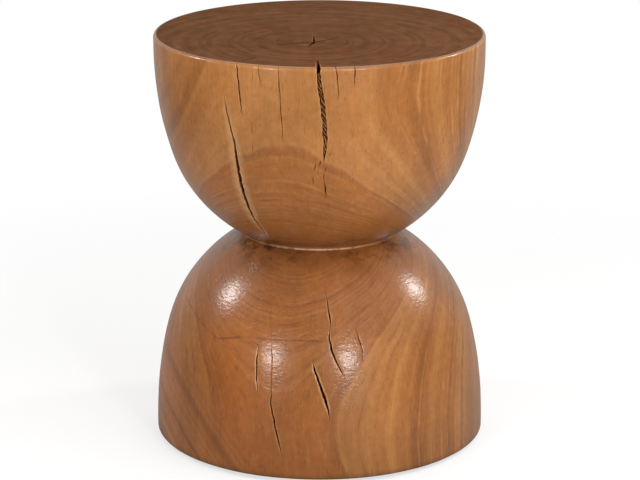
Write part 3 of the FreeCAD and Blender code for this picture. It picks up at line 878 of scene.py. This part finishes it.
# the star of checks at the heart, on the seat: which way each arm runs in degrees
# from +X, how long it is and how wide
star = {
    "heart": (-6 * mm, -55 * mm),
    "depth": 9 * mm,
    "lipReach": 1.6 * mm,
    "lipDrop": 0.25 * mm,
    "paleArm": 90.0,  # only this one has pale lips, and the lips of the others are darker
    "arms": (
        (90.0, 50 * mm, 2.4 * mm), (40.0, 31 * mm, 3.2 * mm),
        (197.0, 42 * mm, 4.0 * mm), (255.0, 23 * mm, 2.6 * mm),
    ),
    "rings": tuple(r * mm for r in (
        0.5, 1.2, 2, 3, 4.2, 5.8, 8, 10.5, 13.5, 17, 21, 25.5, 30.5, 36, 42, 48, 54, 60,
    )),
    "crowding": (14.0, 2.5),  # how many more columns by an arm, and over how many degrees
    "collar": 30 * mm,  # how far in from the rim the columns run straight at the heart
}
sheetGrid = {
    "fillStep": 4.4 * mm,  # between columns away from the checks, at the rim
    "flankStep": 2.1 * mm,  # between rows up the flank
    "rimSteps": 7,
    "faceSteps": 5,
    "farSteps": 8,
    "handRows": 6,  # over how many rows from the waist the hand work sets in
    "bundle": (0.22, 0.45, 0.7, 0.9, 1.0),  # columns in half a check, as shares of it
    "lipColumns": (0.15, 0.4, 0.7, 1.0),  # columns over a lip, as shares of its reach
    "fineBundle": (0.55, 1.0),
    "fineLipColumns": (1.0,),
    "leastHalf": 0.28 * mm,
    "leastReach": 0.8 * mm,
    "leastGap": 0.02 * mm,
    "easing": 40,  # how often, at most, columns that lie too close are eased apart
}
checkCuts = {
    "wallCurve": 0.75,  # how the walls of a check close in to its bottom
    "dotSize": 6 * mm,
    "dotShare": (0.4, 1.6),  # how open a dotted check is, and how much that changes
    "stray": 0.3 * mm,  # how far its middle wanders, in waves of what size
    "straySize": 7 * mm,
    "ragged": 0.22,  # how uneven its edges are, as a share of half its width
    "raggedSize": 3 * mm,
    "leastReach": 0.3,  # how far a closed check's lips reach, as a share
    "dropGrowth": 1.5,  # how fast its lips drop, and turn pale, as it opens
    "paleGrowth": 1.6,
    "starTaper": 0.7,
    "starRagged": 0.3,
    "starRaggedSize": 4 * mm,
    "starLipGrowth": 3.0,
    "starPaleShare": 0.25,
    "leastShare": 0.01,  # how open a check is at least, to be cut
    "least": 1e-7,
}
handWork = {
    "Unevenness": 1.6 * mm,
    "Uneven Size": 70 * mm,
    "Seed": 3.0,
    "Sharp Angle": 0.6,
}


def sideRows(shape, points, ends):
    # the rows up the side, from the waist's edge to the end of the rim's rounding
    flankLength = ends["flank"] - ends["face"]
    flankRows = round(flankLength / sheetGrid["flankStep"])
    wallRows = math.ceil((ends["wall"] - ends["flank"]) / sheetGrid["flankStep"])
    shares = np.linspace(0, 1, flankRows)[:-1]
    ways = np.concatenate((
        [ends["face"]],
        ends["face"] + shape["land"] + shares * (flankLength - shape["land"]),
        np.linspace(ends["flank"], ends["wall"], wallRows + 1)[:-1],
        np.linspace(ends["wall"], ends["rim"], sheetGrid["rimSteps"] + 1),
    ))
    spots = np.array(points)
    lengths = np.concatenate(([0.0], np.cumsum(np.linalg.norm(np.diff(spots, axis=0), axis=1))))
    radius = np.interp(ways, lengths, spots[:, 0])
    height = np.interp(ways, lengths, spots[:, 1])
    tangent = np.gradient(np.stack((radius, height), axis=1), axis=0)
    tangent /= np.linalg.norm(tangent, axis=1)[:, None]
    outward = shape["up"] * np.stack((tangent[:, 1], -tangent[:, 0]), axis=1)
    outward[ways >= ends["flank"]] = (1.0, 0.0)
    share = np.abs(height - shape["joint"]) / abs(shape["far"] - shape["joint"])
    return {"way": ways, "radius": radius, "height": height, "outward": outward, "share": share}


def towardsHeading(degrees):
    # one step long, in plan, from +X
    turn = np.radians(degrees)
    return np.stack((np.cos(turn), np.sin(turn)), axis=-1)


def waver(seed, heights, size):
    # an uneven line down the grain, between about -1 and 1
    return np.array([2 * noise.noise(Vector((seed * 7.31, 0.5, h / size))) for h in heights])


def traceCheck(check, seed, rows):
    # a check at every row: its middle, its edges, how deep it goes and its lips
    cuts, height = checkCuts, rows["height"]
    shares, bearings, openings = np.array(sorted(check["stations"])).T
    gape = np.interp(rows["share"], shares, openings, left=0.0)
    if check.get("dotted"):
        usual, change = cuts["dotShare"]
        gape = gape * np.clip(usual + change * waver(seed, height, cuts["dotSize"]), 0, 1)
    half = check["width"] / 2 * gape
    middle = np.interp(rows["share"], shares, bearings)
    stray = cuts["stray"] * waver(seed + 20, height, cuts["straySize"])
    middle += np.degrees(stray / rows["radius"])
    return {
        "middle": middle,
        "open": gape,
        "left": half * (1 + cuts["ragged"] * waver(seed + 40, height, cuts["raggedSize"])),
        "right": half * (1 + cuts["ragged"] * waver(seed + 60, height, cuts["raggedSize"])),
        "depth": check["depth"] * np.sqrt(gape),
        "reach": check["lipReach"] * np.clip(cuts["leastReach"] + gape, 0, 1),
        "drop": check["lipDrop"] * np.clip(gape * cuts["dropGrowth"], 0, 1),
    }


def bundleColumns(check, trace, rows):
    # the columns that run beside one check, closest at its lips
    name, lips = ("fineBundle", "fineLipColumns") if check.get("fine") else ("bundle", "lipColumns")
    reach = np.maximum(trace["reach"], sheetGrid["leastReach"])
    columns = [np.zeros_like(reach)]
    for side, edge in ((-1, "left"), (1, "right")):
        half = np.maximum(trace[edge], sheetGrid["leastHalf"])
        columns += [side * half * share for share in sheetGrid[name]]
        columns += [side * (half + reach * share) for share in sheetGrid[lips]]
    offsets = np.sort(np.stack(columns, axis=1), axis=1)
    return trace["middle"][:, None] + np.degrees(offsets / rows["radius"][:, None])


def easeApart(bearings, gaps):
    # keeps the columns of each row in order, by easing those apart that lie too close
    for _ in range(sheetGrid["easing"]):
        short = np.clip(gaps - np.diff(bearings, axis=1), 0, None)
        if short.max() < 1e-9:
            break
        bearings[:, :-1] -= short / 2
        bearings[:, 1:] += short / 2
    return bearings


def layColumns(shape, checks, traces, rows):
    # every column's bearing at every row: bundles at the checks, even ones between
    bundles = [bundleColumns(checks[name], trace, rows) for name, trace in traces.items()]
    bundles.sort(key=lambda columns: columns[-1].mean())
    parts = []
    for here, after in zip(bundles, bundles[1:] + [bundles[0] + 360.0]):
        parts.append(here)
        start, end = here[:, -1], after[:, 0]
        span = math.radians((end - start).mean()) * shape["radius"]
        count = max(1, round(span / sheetGrid["fillStep"]))
        shares = np.arange(1, count + 1) / (count + 1)
        parts.append(start[:, None] + (end - start)[:, None] * shares)
    bearings = np.concatenate(parts, axis=1)
    gaps = np.degrees(sheetGrid["leastGap"] / rows["radius"])[:, None]
    return easeApart(bearings, gaps)


def cutChecks(checks, traces, rows, bearings):
    # how deep each point is cut, how much of that is inside a check, and how pale its lip is, from
    # wear and a painted highlight
    depth, hollow, lip = np.zeros((3, *bearings.shape))
    for name, trace in traces.items():
        check = checks[name]
        at = {key: values[:, None] for key, values in trace.items()}
        aside = np.radians(bearings - at["middle"]) * rows["radius"][:, None]
        half = np.where(aside < 0, at["left"], at["right"])
        share = np.abs(aside) / np.maximum(half, checkCuts["least"])
        beyond = np.clip((np.abs(aside) - half) / at["reach"], 0, 1)
        opened = at["open"] > checkCuts["leastShare"]
        fall = np.where(opened, (1 - beyond) ** 2, 0.0)
        raised = np.where(aside < 0, check.get("raisedLeft", 0.0), 0.0) * at["open"]
        wall = at["depth"] * np.clip(1 - share, 0, 1) ** checkCuts["wallCurve"]
        wall = np.where(opened & (share < 1), wall, 0)
        depth = np.maximum(depth, wall + at["drop"] * fall)
        depth -= 4 * raised * fall * (1 - fall)
        hollow = np.maximum(hollow, wall)
        wearAndHighlight = np.clip(checkCuts["paleGrowth"] * at["open"], 0, 1) * check.get("paleLips", 0.0)
        lip = np.maximum(lip, np.where(opened, 1 - beyond, 0.0) * wearAndHighlight)
    return depth, hollow, lip


def starCut(spots):
    # the same three at points of the seat's flat top, for the star of checks
    cuts = checkCuts
    depth, hollow, lip = np.zeros((3, len(spots)))
    for heading, reach, width in star["arms"]:
        along = towardsHeading(heading)
        offset = spots - star["heart"]
        way = offset @ along
        beside = np.linalg.norm(offset - np.clip(way, 0, None)[:, None] * along, axis=1)
        taper = np.clip(1 - way / reach, 0, 1) ** cuts["starTaper"]
        ragged = 1 + cuts["starRagged"] * waver(heading, way, cuts["starRaggedSize"])
        half = np.maximum(width / 2 * taper * ragged, cuts["least"])
        fall = (1 - np.clip((beside - half) / star["lipReach"], 0, 1)) ** 2
        fall *= np.clip(taper * cuts["starLipGrowth"], 0, 1)
        closing = np.clip(1 - beside / half, 0, 1) ** cuts["wallCurve"]
        wall = star["depth"] * taper * closing
        depth = np.maximum(depth, wall + star["lipDrop"] * fall)
        hollow = np.maximum(hollow, wall)
        wearAndHighlight = cuts["starPaleShare"] * fall if heading == star["paleArm"] else -fall
        lip = np.where(fall > np.abs(lip), wearAndHighlight, lip)
    return depth, hollow, lip


def starAngles(headings):
    # as many headings round the heart, crowded by the star's arms, shifted the least
    crowd, spread = star["crowding"]
    around = headings[0] + np.linspace(-360, 720, 21601)
    weight = np.ones_like(around)
    for heading, _, _ in star["arms"]:
        away = np.abs((around - heading + 180) % 360 - 180)
        weight += crowd * np.exp(-away / spread)
    filled = np.concatenate(([0.0], np.cumsum((weight[1:] + weight[:-1]) / 2)))
    filled *= 3 * len(headings) / filled[-1]  # so that one turn holds all the columns
    order = np.arange(len(headings))
    shift = (np.interp(headings, around, filled) - order).mean()
    return np.interp(order + shift, filled, around)


def topRows(rimSpots, rimRadius):
    # rows over the seat's flat top: straight in past the notches of the checks, then
    # turning to the headings by the star, down to the heart of the log
    heart = star["heart"]
    offset = rimSpots - heart
    heading = np.degrees(np.unwrap(np.arctan2(offset[:, 1], offset[:, 0])))
    crowded = starAngles(heading)
    across = towardsHeading(heading) @ heart
    fullReach = np.sqrt(across**2 + rimRadius**2 - np.dot(heart, heart)) - across
    collar = fullReach - star["collar"]
    inner = star["rings"][-1]
    rows = []
    for step in range(sheetGrid["farSteps"]):
        share = step / sheetGrid["farSteps"]
        reach = collar + (inner - collar) * share
        turned = towardsHeading(heading + (crowded - heading) * share)
        rows.append(heart + reach[:, None] * turned)
    rows += [heart + ring * towardsHeading(crowded) for ring in reversed(star["rings"])]
    return rows


def sheetFaces(rowCount, columnCount, up):
    # quads between the rows, closed round the stool, and a fan at each end
    here = np.arange(columnCount)
    after = np.roll(here, -1)
    faces = []
    for row in range(rowCount - 1):
        low, high = row * columnCount, (row + 1) * columnCount
        faces += np.stack((low + here, low + after, high + after, high + here), axis=1).tolist()
    startPole = np.full_like(here, rowCount * columnCount)
    last = (rowCount - 1) * columnCount
    faces += np.stack((startPole, after, here), axis=1).tolist()
    faces += np.stack((last + here, last + after, startPole + 1), axis=1).tolist()
    return faces if up > 0 else [face[::-1] for face in faces]


def addPiece(name, vertices, faces):
    mesh = bpy.data.meshes.new(name)
    mesh.from_pydata(vertices, [], faces)
    return addObject(name, mesh)


def tubeFaces(rings, around):
    # faces round a closed tube, ring by ring, and one over each end
    first = list(range(around))
    faces = []
    for start in range(0, (rings - 1) * around, around):
        for i in first:
            j = (i + 1) % around
            faces.append((start + i, start + j, start + around + j, start + around + i))
    return faces + [first[::-1], [(rings - 1) * around + i for i in first]]


def keepAttribute(piece, name, values, kind="FLOAT"):
    attribute = piece.data.attributes.new(name, kind, "POINT")
    field = "vector" if kind == "FLOAT_VECTOR" else "value"
    attribute.data.foreach_set(field, np.asarray(values, np.float32).ravel())


rowMarks = ("cutIn", "cutDown", "hollowDepth", "lipShare", "handShare", "endFace")


def sheetRow(bearing, way, **marks):
    # a row of points: bearings in radians, way along the outline, and what marks them
    blank = np.zeros_like(bearing)
    columns = [blank + marks.get(mark, 0.0) for mark in rowMarks]
    return np.stack((bearing, blank + way, *columns), axis=1)


def faceSheet(shape, ends, bearing):
    # from the bore's wall over the joint face to the waist
    ways = np.linspace(ends["bore"], ends["face"], sheetGrid["faceSteps"])[:-1]
    return [sheetRow(bearing, way, endFace=1.0) for way in (shape["boreRadius"], *ways)]


def sideSheet(rows, bearings, depth, hollow, lip):
    made = []
    for i, way in enumerate(rows["way"]):
        marks = {
            "cutIn": depth[i] * rows["outward"][i][0],
            "cutDown": depth[i] * rows["outward"][i][1],
            "hollowDepth": hollow[i],
            "lipShare": lip[i],
            "handShare": min(1.0, i / sheetGrid["handRows"]),
        }
        made.append(sheetRow(np.radians(bearings[i]), way, **marks))
    return made


def seatTop(ends, flat, rimRow):
    # the flat top with its star of checks, and last the point at the heart
    def topRow(spots, **marks):
        bearing = np.arctan2(spots[:, 0], -spots[:, 1])
        way = ends["rim"] + flat - np.linalg.norm(spots, axis=1)
        return sheetRow(bearing, way, endFace=1.0, **marks)

    bearing, edge = rimRow[:, 0], flat - rimRow[:, 2]
    rim = np.stack((edge * np.sin(bearing), -edge * np.cos(bearing)), axis=1)
    made = []
    for spots in topRows(rim, flat):
        cut, inside, wearAndHighlight = starCut(spots)
        made.append(topRow(spots, cutDown=cut, hollowDepth=inside, lipShare=wearAndHighlight))
    heart = np.array([star["heart"]])
    deepest = starCut(heart)[0]
    return made + [topRow(heart, cutDown=deepest, hollowDepth=deepest, lipShare=1.0)]


def footFace(ends, flat, rimRow):
    # the flat underside, and last the point in its middle
    made = []
    for share in np.arange(1, sheetGrid["farSteps"]) / sheetGrid["farSteps"]:
        made.append(sheetRow(rimRow[:, 0], ends["rim"] + flat * share, endFace=1.0))
    return made + [sheetRow(np.zeros(1), ends["far"], lipShare=1.0, endFace=1.0)]


def sheetPiece(name, sheet, farPole, up):
    # the sheet as a flat mesh, with a point at each end of the outline
    borePole = sheetRow(np.zeros(1), 0.0, endFace=1.0)
    bearing, way, cutIn, cutDown, *marks = np.concatenate((*sheet, borePole, farPole)).T
    level = np.zeros_like(way)
    spots = np.stack((bearing, way, level), axis=1).tolist()
    piece = addPiece(name, spots, sheetFaces(len(sheet), len(sheet[0]), up))
    keepAttribute(piece, "bearing", bearing)
    keepAttribute(piece, "wayAlong", way)
    keepAttribute(piece, "cutAway", np.stack((cutIn, level, cutDown), axis=1), "FLOAT_VECTOR")
    for mark, values in zip(rowMarks[2:], marks):
        keepAttribute(piece, mark, values)
    return piece


def turnBlock(shape, checks, finish, endFinish):
    points, ends = blockOutline(shape)
    rows = sideRows(shape, points, ends)
    traces = {
        name: traceCheck(check, seed, rows)
        for seed, (name, check) in enumerate(checks.items(), start=1)
    }
    bearings = layColumns(shape, checks, traces, rows)
    sheet = faceSheet(shape, ends, np.radians(bearings[0]))
    sheet += sideSheet(rows, bearings, *cutChecks(checks, traces, rows, bearings))
    farFace = seatTop if shape["up"] > 0 else footFace
    *farRows, farPole = farFace(ends, rows["radius"][-1], sheet[-1])
    sheet += farRows
    block = sheetPiece(shape["piece"], sheet, farPole, shape["up"])
    outline = drawOutline(shape["piece"] + "Outline", points)
    finishes = {"Finish": finish, "End Finish": endFinish}
    runTree(block, lathe, {**handWork, **finishes, "Outline": outline})
    bpy.data.objects.remove(outline)
    print(shape["piece"], "turned:", len(sheet[0]), "columns,", len(sheet), "rows")
    return block


lathe = latheTree()
seatBlock = turnBlock(seatShape, seatChecks, seatWood, endWood)
baseBlock = turnBlock(baseShape, baseChecks, baseWood, baseEndWood)


# Bores that the lathe doesn't make: side dowels in both joint faces, nails in the foot

bores = {
    "dowelRoom": 0.1 * mm,
    "dowelEndRoom": 3 * mm,
    "nailRadius": 1.35 * mm,  # the shank and its glue film
    "nailEndRoom": 0.5 * mm,
    "overrun": 2 * mm,
    "sides": 48,
}


def rod(middle, radius, low, high):
    # the vertices of a closed rod
    around = [math.tau * side / bores["sides"] for side in range(bores["sides"])]
    return [
        (middle.x + radius * math.cos(turn), middle.y + radius * math.sin(turn), height)
        for height in (low, high)
        for turn in around
    ]


def boreOut(block, rods):
    vertices, faces = [], []
    for spots in rods:
        faces += [[len(vertices) + i for i in face] for face in tubeFaces(2, bores["sides"])]
        vertices += spots
    cutter = addPiece("boreCutter", vertices, faces)
    cut = block.modifiers.new("bores", "BOOLEAN")
    cut.operation = "DIFFERENCE"
    cut.solver = "MANIFOLD"
    cut.object = cutter
    keepShape(block, cut)
    block.data.set_sharp_from_angle(angle=handWork["Sharp Angle"])
    bpy.data.objects.remove(cutter)
    print(block.name, "bored:", len(rods), "bores")


dowelRods, nailRods = [], []
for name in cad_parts:
    low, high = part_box(name)
    if name.startswith("side_dowel"):
        radius = (high.x - low.x) / 2 + bores["dowelRoom"]
        ends = low.z - bores["dowelEndRoom"], high.z + bores["dowelEndRoom"]
        dowelRods.append(rod((low + high) / 2, radius, *ends))
    elif name.startswith("glide_nail"):
        ends = baseShape["far"] - bores["overrun"], high.z + bores["nailEndRoom"]
        nailRods.append(rod((low + high) / 2, bores["nailRadius"], *ends))
boreOut(seatBlock, dowelRods)
boreOut(baseBlock, dowelRods + nailRods)


# The crumbly filling in the front check

# twisted ridges of sawdust and glue, with loose crumbs over them
filling = {
    "check": "front",
    "between": (0.975, 0.57),  # height shares
    "recess": 2.6 * mm,
    "ridge": 1.0 * mm,
    "ridgeStep": 6.2 * mm,
    "ridgeSlant": 0.55,
    "thick": 6 * mm,
    "shrunk": 0.74,  # how much of its room it still takes at the left lip
    "filled": 0.98,  # and at the right one
    "drift": (0.4, 13 * mm),  # how much its ridges drift, in waves of what size
    "leaning": (0.4, 22 * mm),  # how much their slant changes
    "swelling": (0.8, 8 * mm),  # and how high they are
    "swellLimits": (0.4, 1.5),
    "waveShare": 0.65,  # what a ridge's waves and its grit add to its height
    "grit": (0.7, 1.3 * mm),
    "gritAcross": 1.6,
    "smallWave": (0.45, 2.3, 1.0),  # how high, how many to a ridge, how far along
    # painted light on the ridges and painted shade in the troughs between them
    "shade": (0.45, 0.5),  # how pale it is, and how much more on its ridges
    "frontTo": 0.9,  # how far across crumbs lie on it
    "columns": 11,
    "rowStep": 0.6 * mm,
    "crumbSize": 0.42 * mm,
    "crumbsPerArea": 380000.0,  # per square metre
    "crumbSeed": 4,
}


def packFilling(look):
    points, ends = blockOutline(seatShape)
    rows = sideRows(seatShape, points, ends)
    trace = traceCheck(seatChecks[look["check"]], 1, rows)
    inside = (rows["share"] < look["between"][0]) & (rows["share"] > look["between"][1])
    ways = rows["way"][inside]
    fine = np.arange(ways[0], ways[-1], look["rowStep"])

    def along(values):
        return np.interp(fine, ways, values[inside])

    radius, height = along(rows["radius"]), along(rows["height"])
    outR, outZ = along(rows["outward"][:, 0]), along(rows["outward"][:, 1])
    middle = np.radians(along(trace["middle"]))
    depth, left, right = along(trace["depth"]), along(trace["left"]), along(trace["right"])
    changes = ("drift", "leaning", "swelling")
    drift, lean, swell = [
        look[change][0] * waver(seed, fine, look[change][1])
        for seed, change in enumerate(changes, start=5)
    ]
    lean = look["ridgeSlant"] * (1 + lean)
    swell = np.clip(1 + swell, *look["swellLimits"])
    grit, gritSize = look["grit"]
    small, many, ahead = look["smallWave"]
    dull, pale = look["shade"]
    vertices, ridges, fronts = [], [], []
    sides = np.linspace(-1, 1, look["columns"])
    for i, way in enumerate(fine):
        for layer, deeper in (("front", 0.0), ("back", look["thick"])):
            for side in sides if layer == "front" else sides[::-1]:
                swing = way / look["ridgeStep"] + drift[i] + lean[i] * side
                wave = math.sin(math.tau * swing)
                wave += small * math.sin(math.tau * many * swing + ahead)
                bump = noise.noise(Vector((side * look["gritAcross"], way / gritSize, deeper)))
                ridge = swell[i] * (look["waveShare"] * wave + grit * bump)
                sunk = look["recess"] + deeper - look["ridge"] * ridge
                half = (left if side < 0 else right)[i]
                half *= 1 - min(0.95, sunk / depth[i]) ** (1 / checkCuts["wallCurve"])
                half *= look["shrunk"] if side < 0 else look["filled"]
                turn = middle[i] + side * half / radius[i]
                r = radius[i] - sunk * outR[i]
                z = height[i] - sunk * outZ[i]
                vertices.append((r * math.sin(turn), -r * math.cos(turn), z))
                ridges.append(dull + pale * ridge)
                fronts.append(1.0 if layer == "front" and abs(side) < look["frontTo"] else 0.0)
    piece = addPiece("checkFilling", vertices, tubeFaces(len(fine), 2 * len(sides)))
    keepAttribute(piece, "ridgeShare", ridges)
    keepAttribute(piece, "frontShare", fronts)
    return piece


def fillingMaterial():
    material, bench = newMaterial("sawdustFilling")
    speck = bench.coordinates().cloud(1400.0, 2.0, 0.6)
    # paler up on the ridges and darker down between them, painted light and shade, mixed with
    # specks
    mixed = bench.carried("ridgeShare") * 0.7 + speck * 0.45
    colour = mixed.ramp(((0.28, "2c1407"), (0.48, "5c3013"), (0.66, "945c2b"), (0.92, "cf9a60")))
    look = {"Roughness": 0.9, "Specular IOR Level": 0.1}
    finishMaterial(bench, look, Base_Color=colour, Normal=speck.bump(0.8, 0.3 * mm))
    return material


def crumbTree():
    # loose crumbs strewn over the front of the filling, each with its own shade
    ports = {
        "Filling": "Geometry",
        "Crumb Size": "Float",
        "Crumbs Per Area": "Float",
        "Seed": "Int",
        "Finish": "Material",
    }
    tree, bench, given = geometryTree("strewCrumbs", ports, "Strewn")

    def chance(kind, low, high, step):
        wires = {"Min": low, "Max": high, "Seed": given["Seed"] + float(step)}
        return bench.get("FunctionNodeRandomValue", {"data_type": kind}, **wires)

    front = bench.known("frontShare").sum("GREATER_THAN", 0.9)
    spread = {
        "Mesh": given["Filling"],
        "Selection": front,
        "Density": given["Crumbs Per Area"],
        "Seed": given["Seed"],
    }
    spots = bench.get("GeometryNodeDistributePointsOnFaces", output="Points", **spread)
    crumb = {"Radius": given["Crumb Size"], "Subdivisions": 1}
    crumb = bench.get("GeometryNodeMeshIcoSphere", output="Mesh", **crumb)
    placed = {
        "Points": spots,
        "Instance": crumb,
        "Rotation": chance("FLOAT_VECTOR", (0.0, 0.0, 0.0), (6.28, 6.28, 6.28), 1),
        "Scale": chance("FLOAT_VECTOR", (0.3, 0.3, 0.4), (0.8, 1.0, 2.2), 2),
    }
    strewn = bench.get("GeometryNodeInstanceOnPoints", **placed)
    settings = {"data_type": "FLOAT", "domain": "INSTANCE"}
    shade = {"Geometry": strewn, "Name": "ridgeShare", "Value": chance("FLOAT", 0.1, 1.0, 3)}
    shaded = bench.get("GeometryNodeStoreNamedAttribute", settings, **shade)
    together = bench.add("GeometryNodeJoinGeometry")
    bench.wire(together.inputs[0], shaded)
    bench.wire(together.inputs[0], given["Filling"])
    real = bench.get("GeometryNodeRealizeInstances", Geometry=bench.take(together))
    finished = {"Geometry": real, "Material": given["Finish"]}
    finished = bench.get("GeometryNodeSetMaterial", **finished)
    bench.add("NodeGroupOutput", Strewn=finished)
    return tree


checkFilling = packFilling(filling)
runTree(checkFilling, crumbTree(), {
    "Crumb Size": filling["crumbSize"],
    "Crumbs Per Area": filling["crumbsPerArea"],
    "Seed": filling["crumbSeed"],
    "Finish": fillingMaterial(),
})
print("check filled:", len(checkFilling.data.polygons), "faces")


# Dowels, glides and nails stay as they are packed, and get their finish here


def beechWood():
    material, bench = newMaterial("rawBeech")
    place = bench.coordinates()
    grain = place.stretched(1.0, 1.0, 0.06).cloud(420.0, 3.0, 0.6)
    fleck = place.stretched(1.0, 1.0, 0.25).cloud(900.0, 1.0, 0.4, seed=2.0)
    colour = grain.ramp(((0.3, "b98d60"), (0.5, "cfa878"), (0.7, "dcbb8f")))
    colour = colour.towards("8f6239", fleck.rescale(0.62, 0.72, 0.0, 0.5))
    bump = grain.bump(0.4, 0.2 * mm)
    finishMaterial(bench, {"Roughness": 0.72}, Base_Color=colour, Normal=bump)
    return material


def mouldedNylon():
    material, bench = newMaterial("mouldedNylon")
    place = bench.coordinates()
    grit = place.cloud(2600.0)
    scuff = place.stretched(1.0, 0.2, 1.0).cloud(300.0, 3.0, 0.7, seed=5.0)
    wires = {"Factor": scuff.rescale(0.6, 0.75, 0.0, 0.35), "A": "4e3f34", "B": "7d6c5d"}
    colour = bench.get("ShaderNodeMix", {"data_type": "RGBA"}, **wires)
    roughness = grit.rescale(0.3, 0.7, 0.42, 0.6)
    bump = grit.bump(0.3, 0.08 * mm)
    finishMaterial(bench, {}, Base_Color=colour, Roughness=roughness, Normal=bump)
    return material


def nailSteel():
    material, bench = newMaterial("nailSteel")
    smear = bench.coordinates().stretched(1.0, 1.0, 0.1).cloud(1800.0, 2.0, 0.6)
    colour = smear.ramp(((0.35, "8d8d90"), (0.65, "c3c3c4")))
    roughness = smear.rescale(0.3, 0.7, 0.28, 0.5)
    finishMaterial(bench, {"Metallic": 1.0}, Base_Color=colour, Roughness=roughness)
    return material


smallFinishes = {"dowel": beechWood(), "glide_nail": nailSteel(), "glide": mouldedNylon()}
for name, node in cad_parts.items():
    for word, finish in smallFinishes.items():
        if word in name:
            node.data.materials.clear()
            node.data.materials.append(finish)
            break
print("small parts finished")


# Floor, world and lamps: white surroundings and six soft boxes

studio = {
    "target": (0.0, 0.0, 230 * mm),
    "floorReach": 4.0,
    "floorColour": "aaaaa9",
    "floorGlow": 0.62,  # what the camera sees over the floor's own light, so that it is white
    "floorFades": (0.5, 1.1),  # how far out the floor turns clear
    "below": 0.08,  # how bright the room is under the horizon, and above it
    "level": 0.3,
    "backdrop": 0.3,  # how much brighter the room is behind the stool
    "matt": ("key",),  # lamps that leave no highlight of their own
    "boxes": (  # bearing from the front and height in degrees, distance, size, watts
        ("leftBack", -95, 33, 1.9, (0.25, 0.25), 10),
        ("rightBack", 105, 30, 1.9, (0.25, 0.25), 9),
        ("leftFront", -34, 13, 2.6, (0.32, 0.32), 18.5),
        ("rightFront", 20, 13, 2.6, (0.3, 0.45), 21),
        ("above", 180, 62, 2.0, (1.2, 1.2), 4.5),
        ("key", 46, 42, 1.2, (1.0, 1.0), 7.6),
    ),
}


def layFloor(look):
    half = look["floorReach"]
    corners = [(-half, -half, 0.0), (half, -half, 0.0), (half, half, 0.0), (-half, half, 0.0)]
    floor = addPiece("floor", corners, [(0, 1, 2, 3)])
    material, bench = newMaterial("paleFloor")
    paper = bench.get("ShaderNodeBsdfDiffuse", Color=look["floorColour"])
    glow = bench.get("ShaderNodeLightPath", output="Is Camera Ray") * look["floorGlow"]
    white = bench.get("ShaderNodeEmission", Color="ffffff", Strength=glow)
    lit = bench.add("ShaderNodeAddShader")
    bench.wire(lit.inputs[0], paper)
    bench.wire(lit.inputs[1], white)
    place = bench.coordinates()
    away = bench.get("ShaderNodeVectorMath", {"operation": "LENGTH"}, Vector=place)
    mixed = bench.add("ShaderNodeMixShader", Fac=away.rescale(*look["floorFades"]))
    bench.wire(mixed.inputs[1], bench.take(lit))
    bench.wire(mixed.inputs[2], bench.get("ShaderNodeBsdfTransparent"))
    bench.add("ShaderNodeOutputMaterial", Surface=bench.take(mixed))
    floor.data.materials.append(material)


def lightWorld(look):
    world = bpy.data.worlds.new("whiteRoom")
    world.use_nodes = True
    bpy.context.scene.world = world
    bench = NodeBench(world.node_tree)
    path = bench.add("ShaderNodeLightPath")
    straight = bench.take(path, "Is Camera Ray")
    seen = straight.sum("MAXIMUM", bench.take(path, "Is Transmission Ray"))
    heading = bench.get("ShaderNodeTexCoord", output="Generated").split()
    room = heading[2].rescale(-0.25, 0.15, look["below"], look["level"])
    room += heading[1].rescale(0.3, 0.95, 0.0, look["backdrop"])
    strength = seen.rescale(0.0, 1.0, room, 1.0, smooth=False)
    white = bench.get("ShaderNodeBackground", Color="ffffff", Strength=strength)
    bench.add("ShaderNodeOutputWorld", Surface=white)


def addSoftBox(name, bearing, height, distance, size, watts):
    lamp = addObject(name, bpy.data.lights.new(name, "AREA"))
    turn, lift = math.radians(bearing), math.radians(height)
    level = math.cos(lift)
    away = Vector((math.sin(turn) * level, -math.cos(turn) * level, math.sin(lift)))
    lamp.location = Vector(studio["target"]) + away * distance
    lamp.rotation_euler = away.to_track_quat("Z", "Y").to_euler()
    lamp.data.shape = "RECTANGLE"
    lamp.data.size, lamp.data.size_y = size
    lamp.data.energy = watts
    lamp.visible_glossy = name not in studio["matt"]


layFloor(studio)
lightWorld(studio)
for box in studio["boxes"]:
    addSoftBox(*box)
print("studio lit")


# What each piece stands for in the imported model

for shape, block in ((seatShape, seatBlock), (baseShape, baseBlock)):
    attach(block, "root")
    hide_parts(shape["node"])
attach(checkFilling, "root")
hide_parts("check_filler")
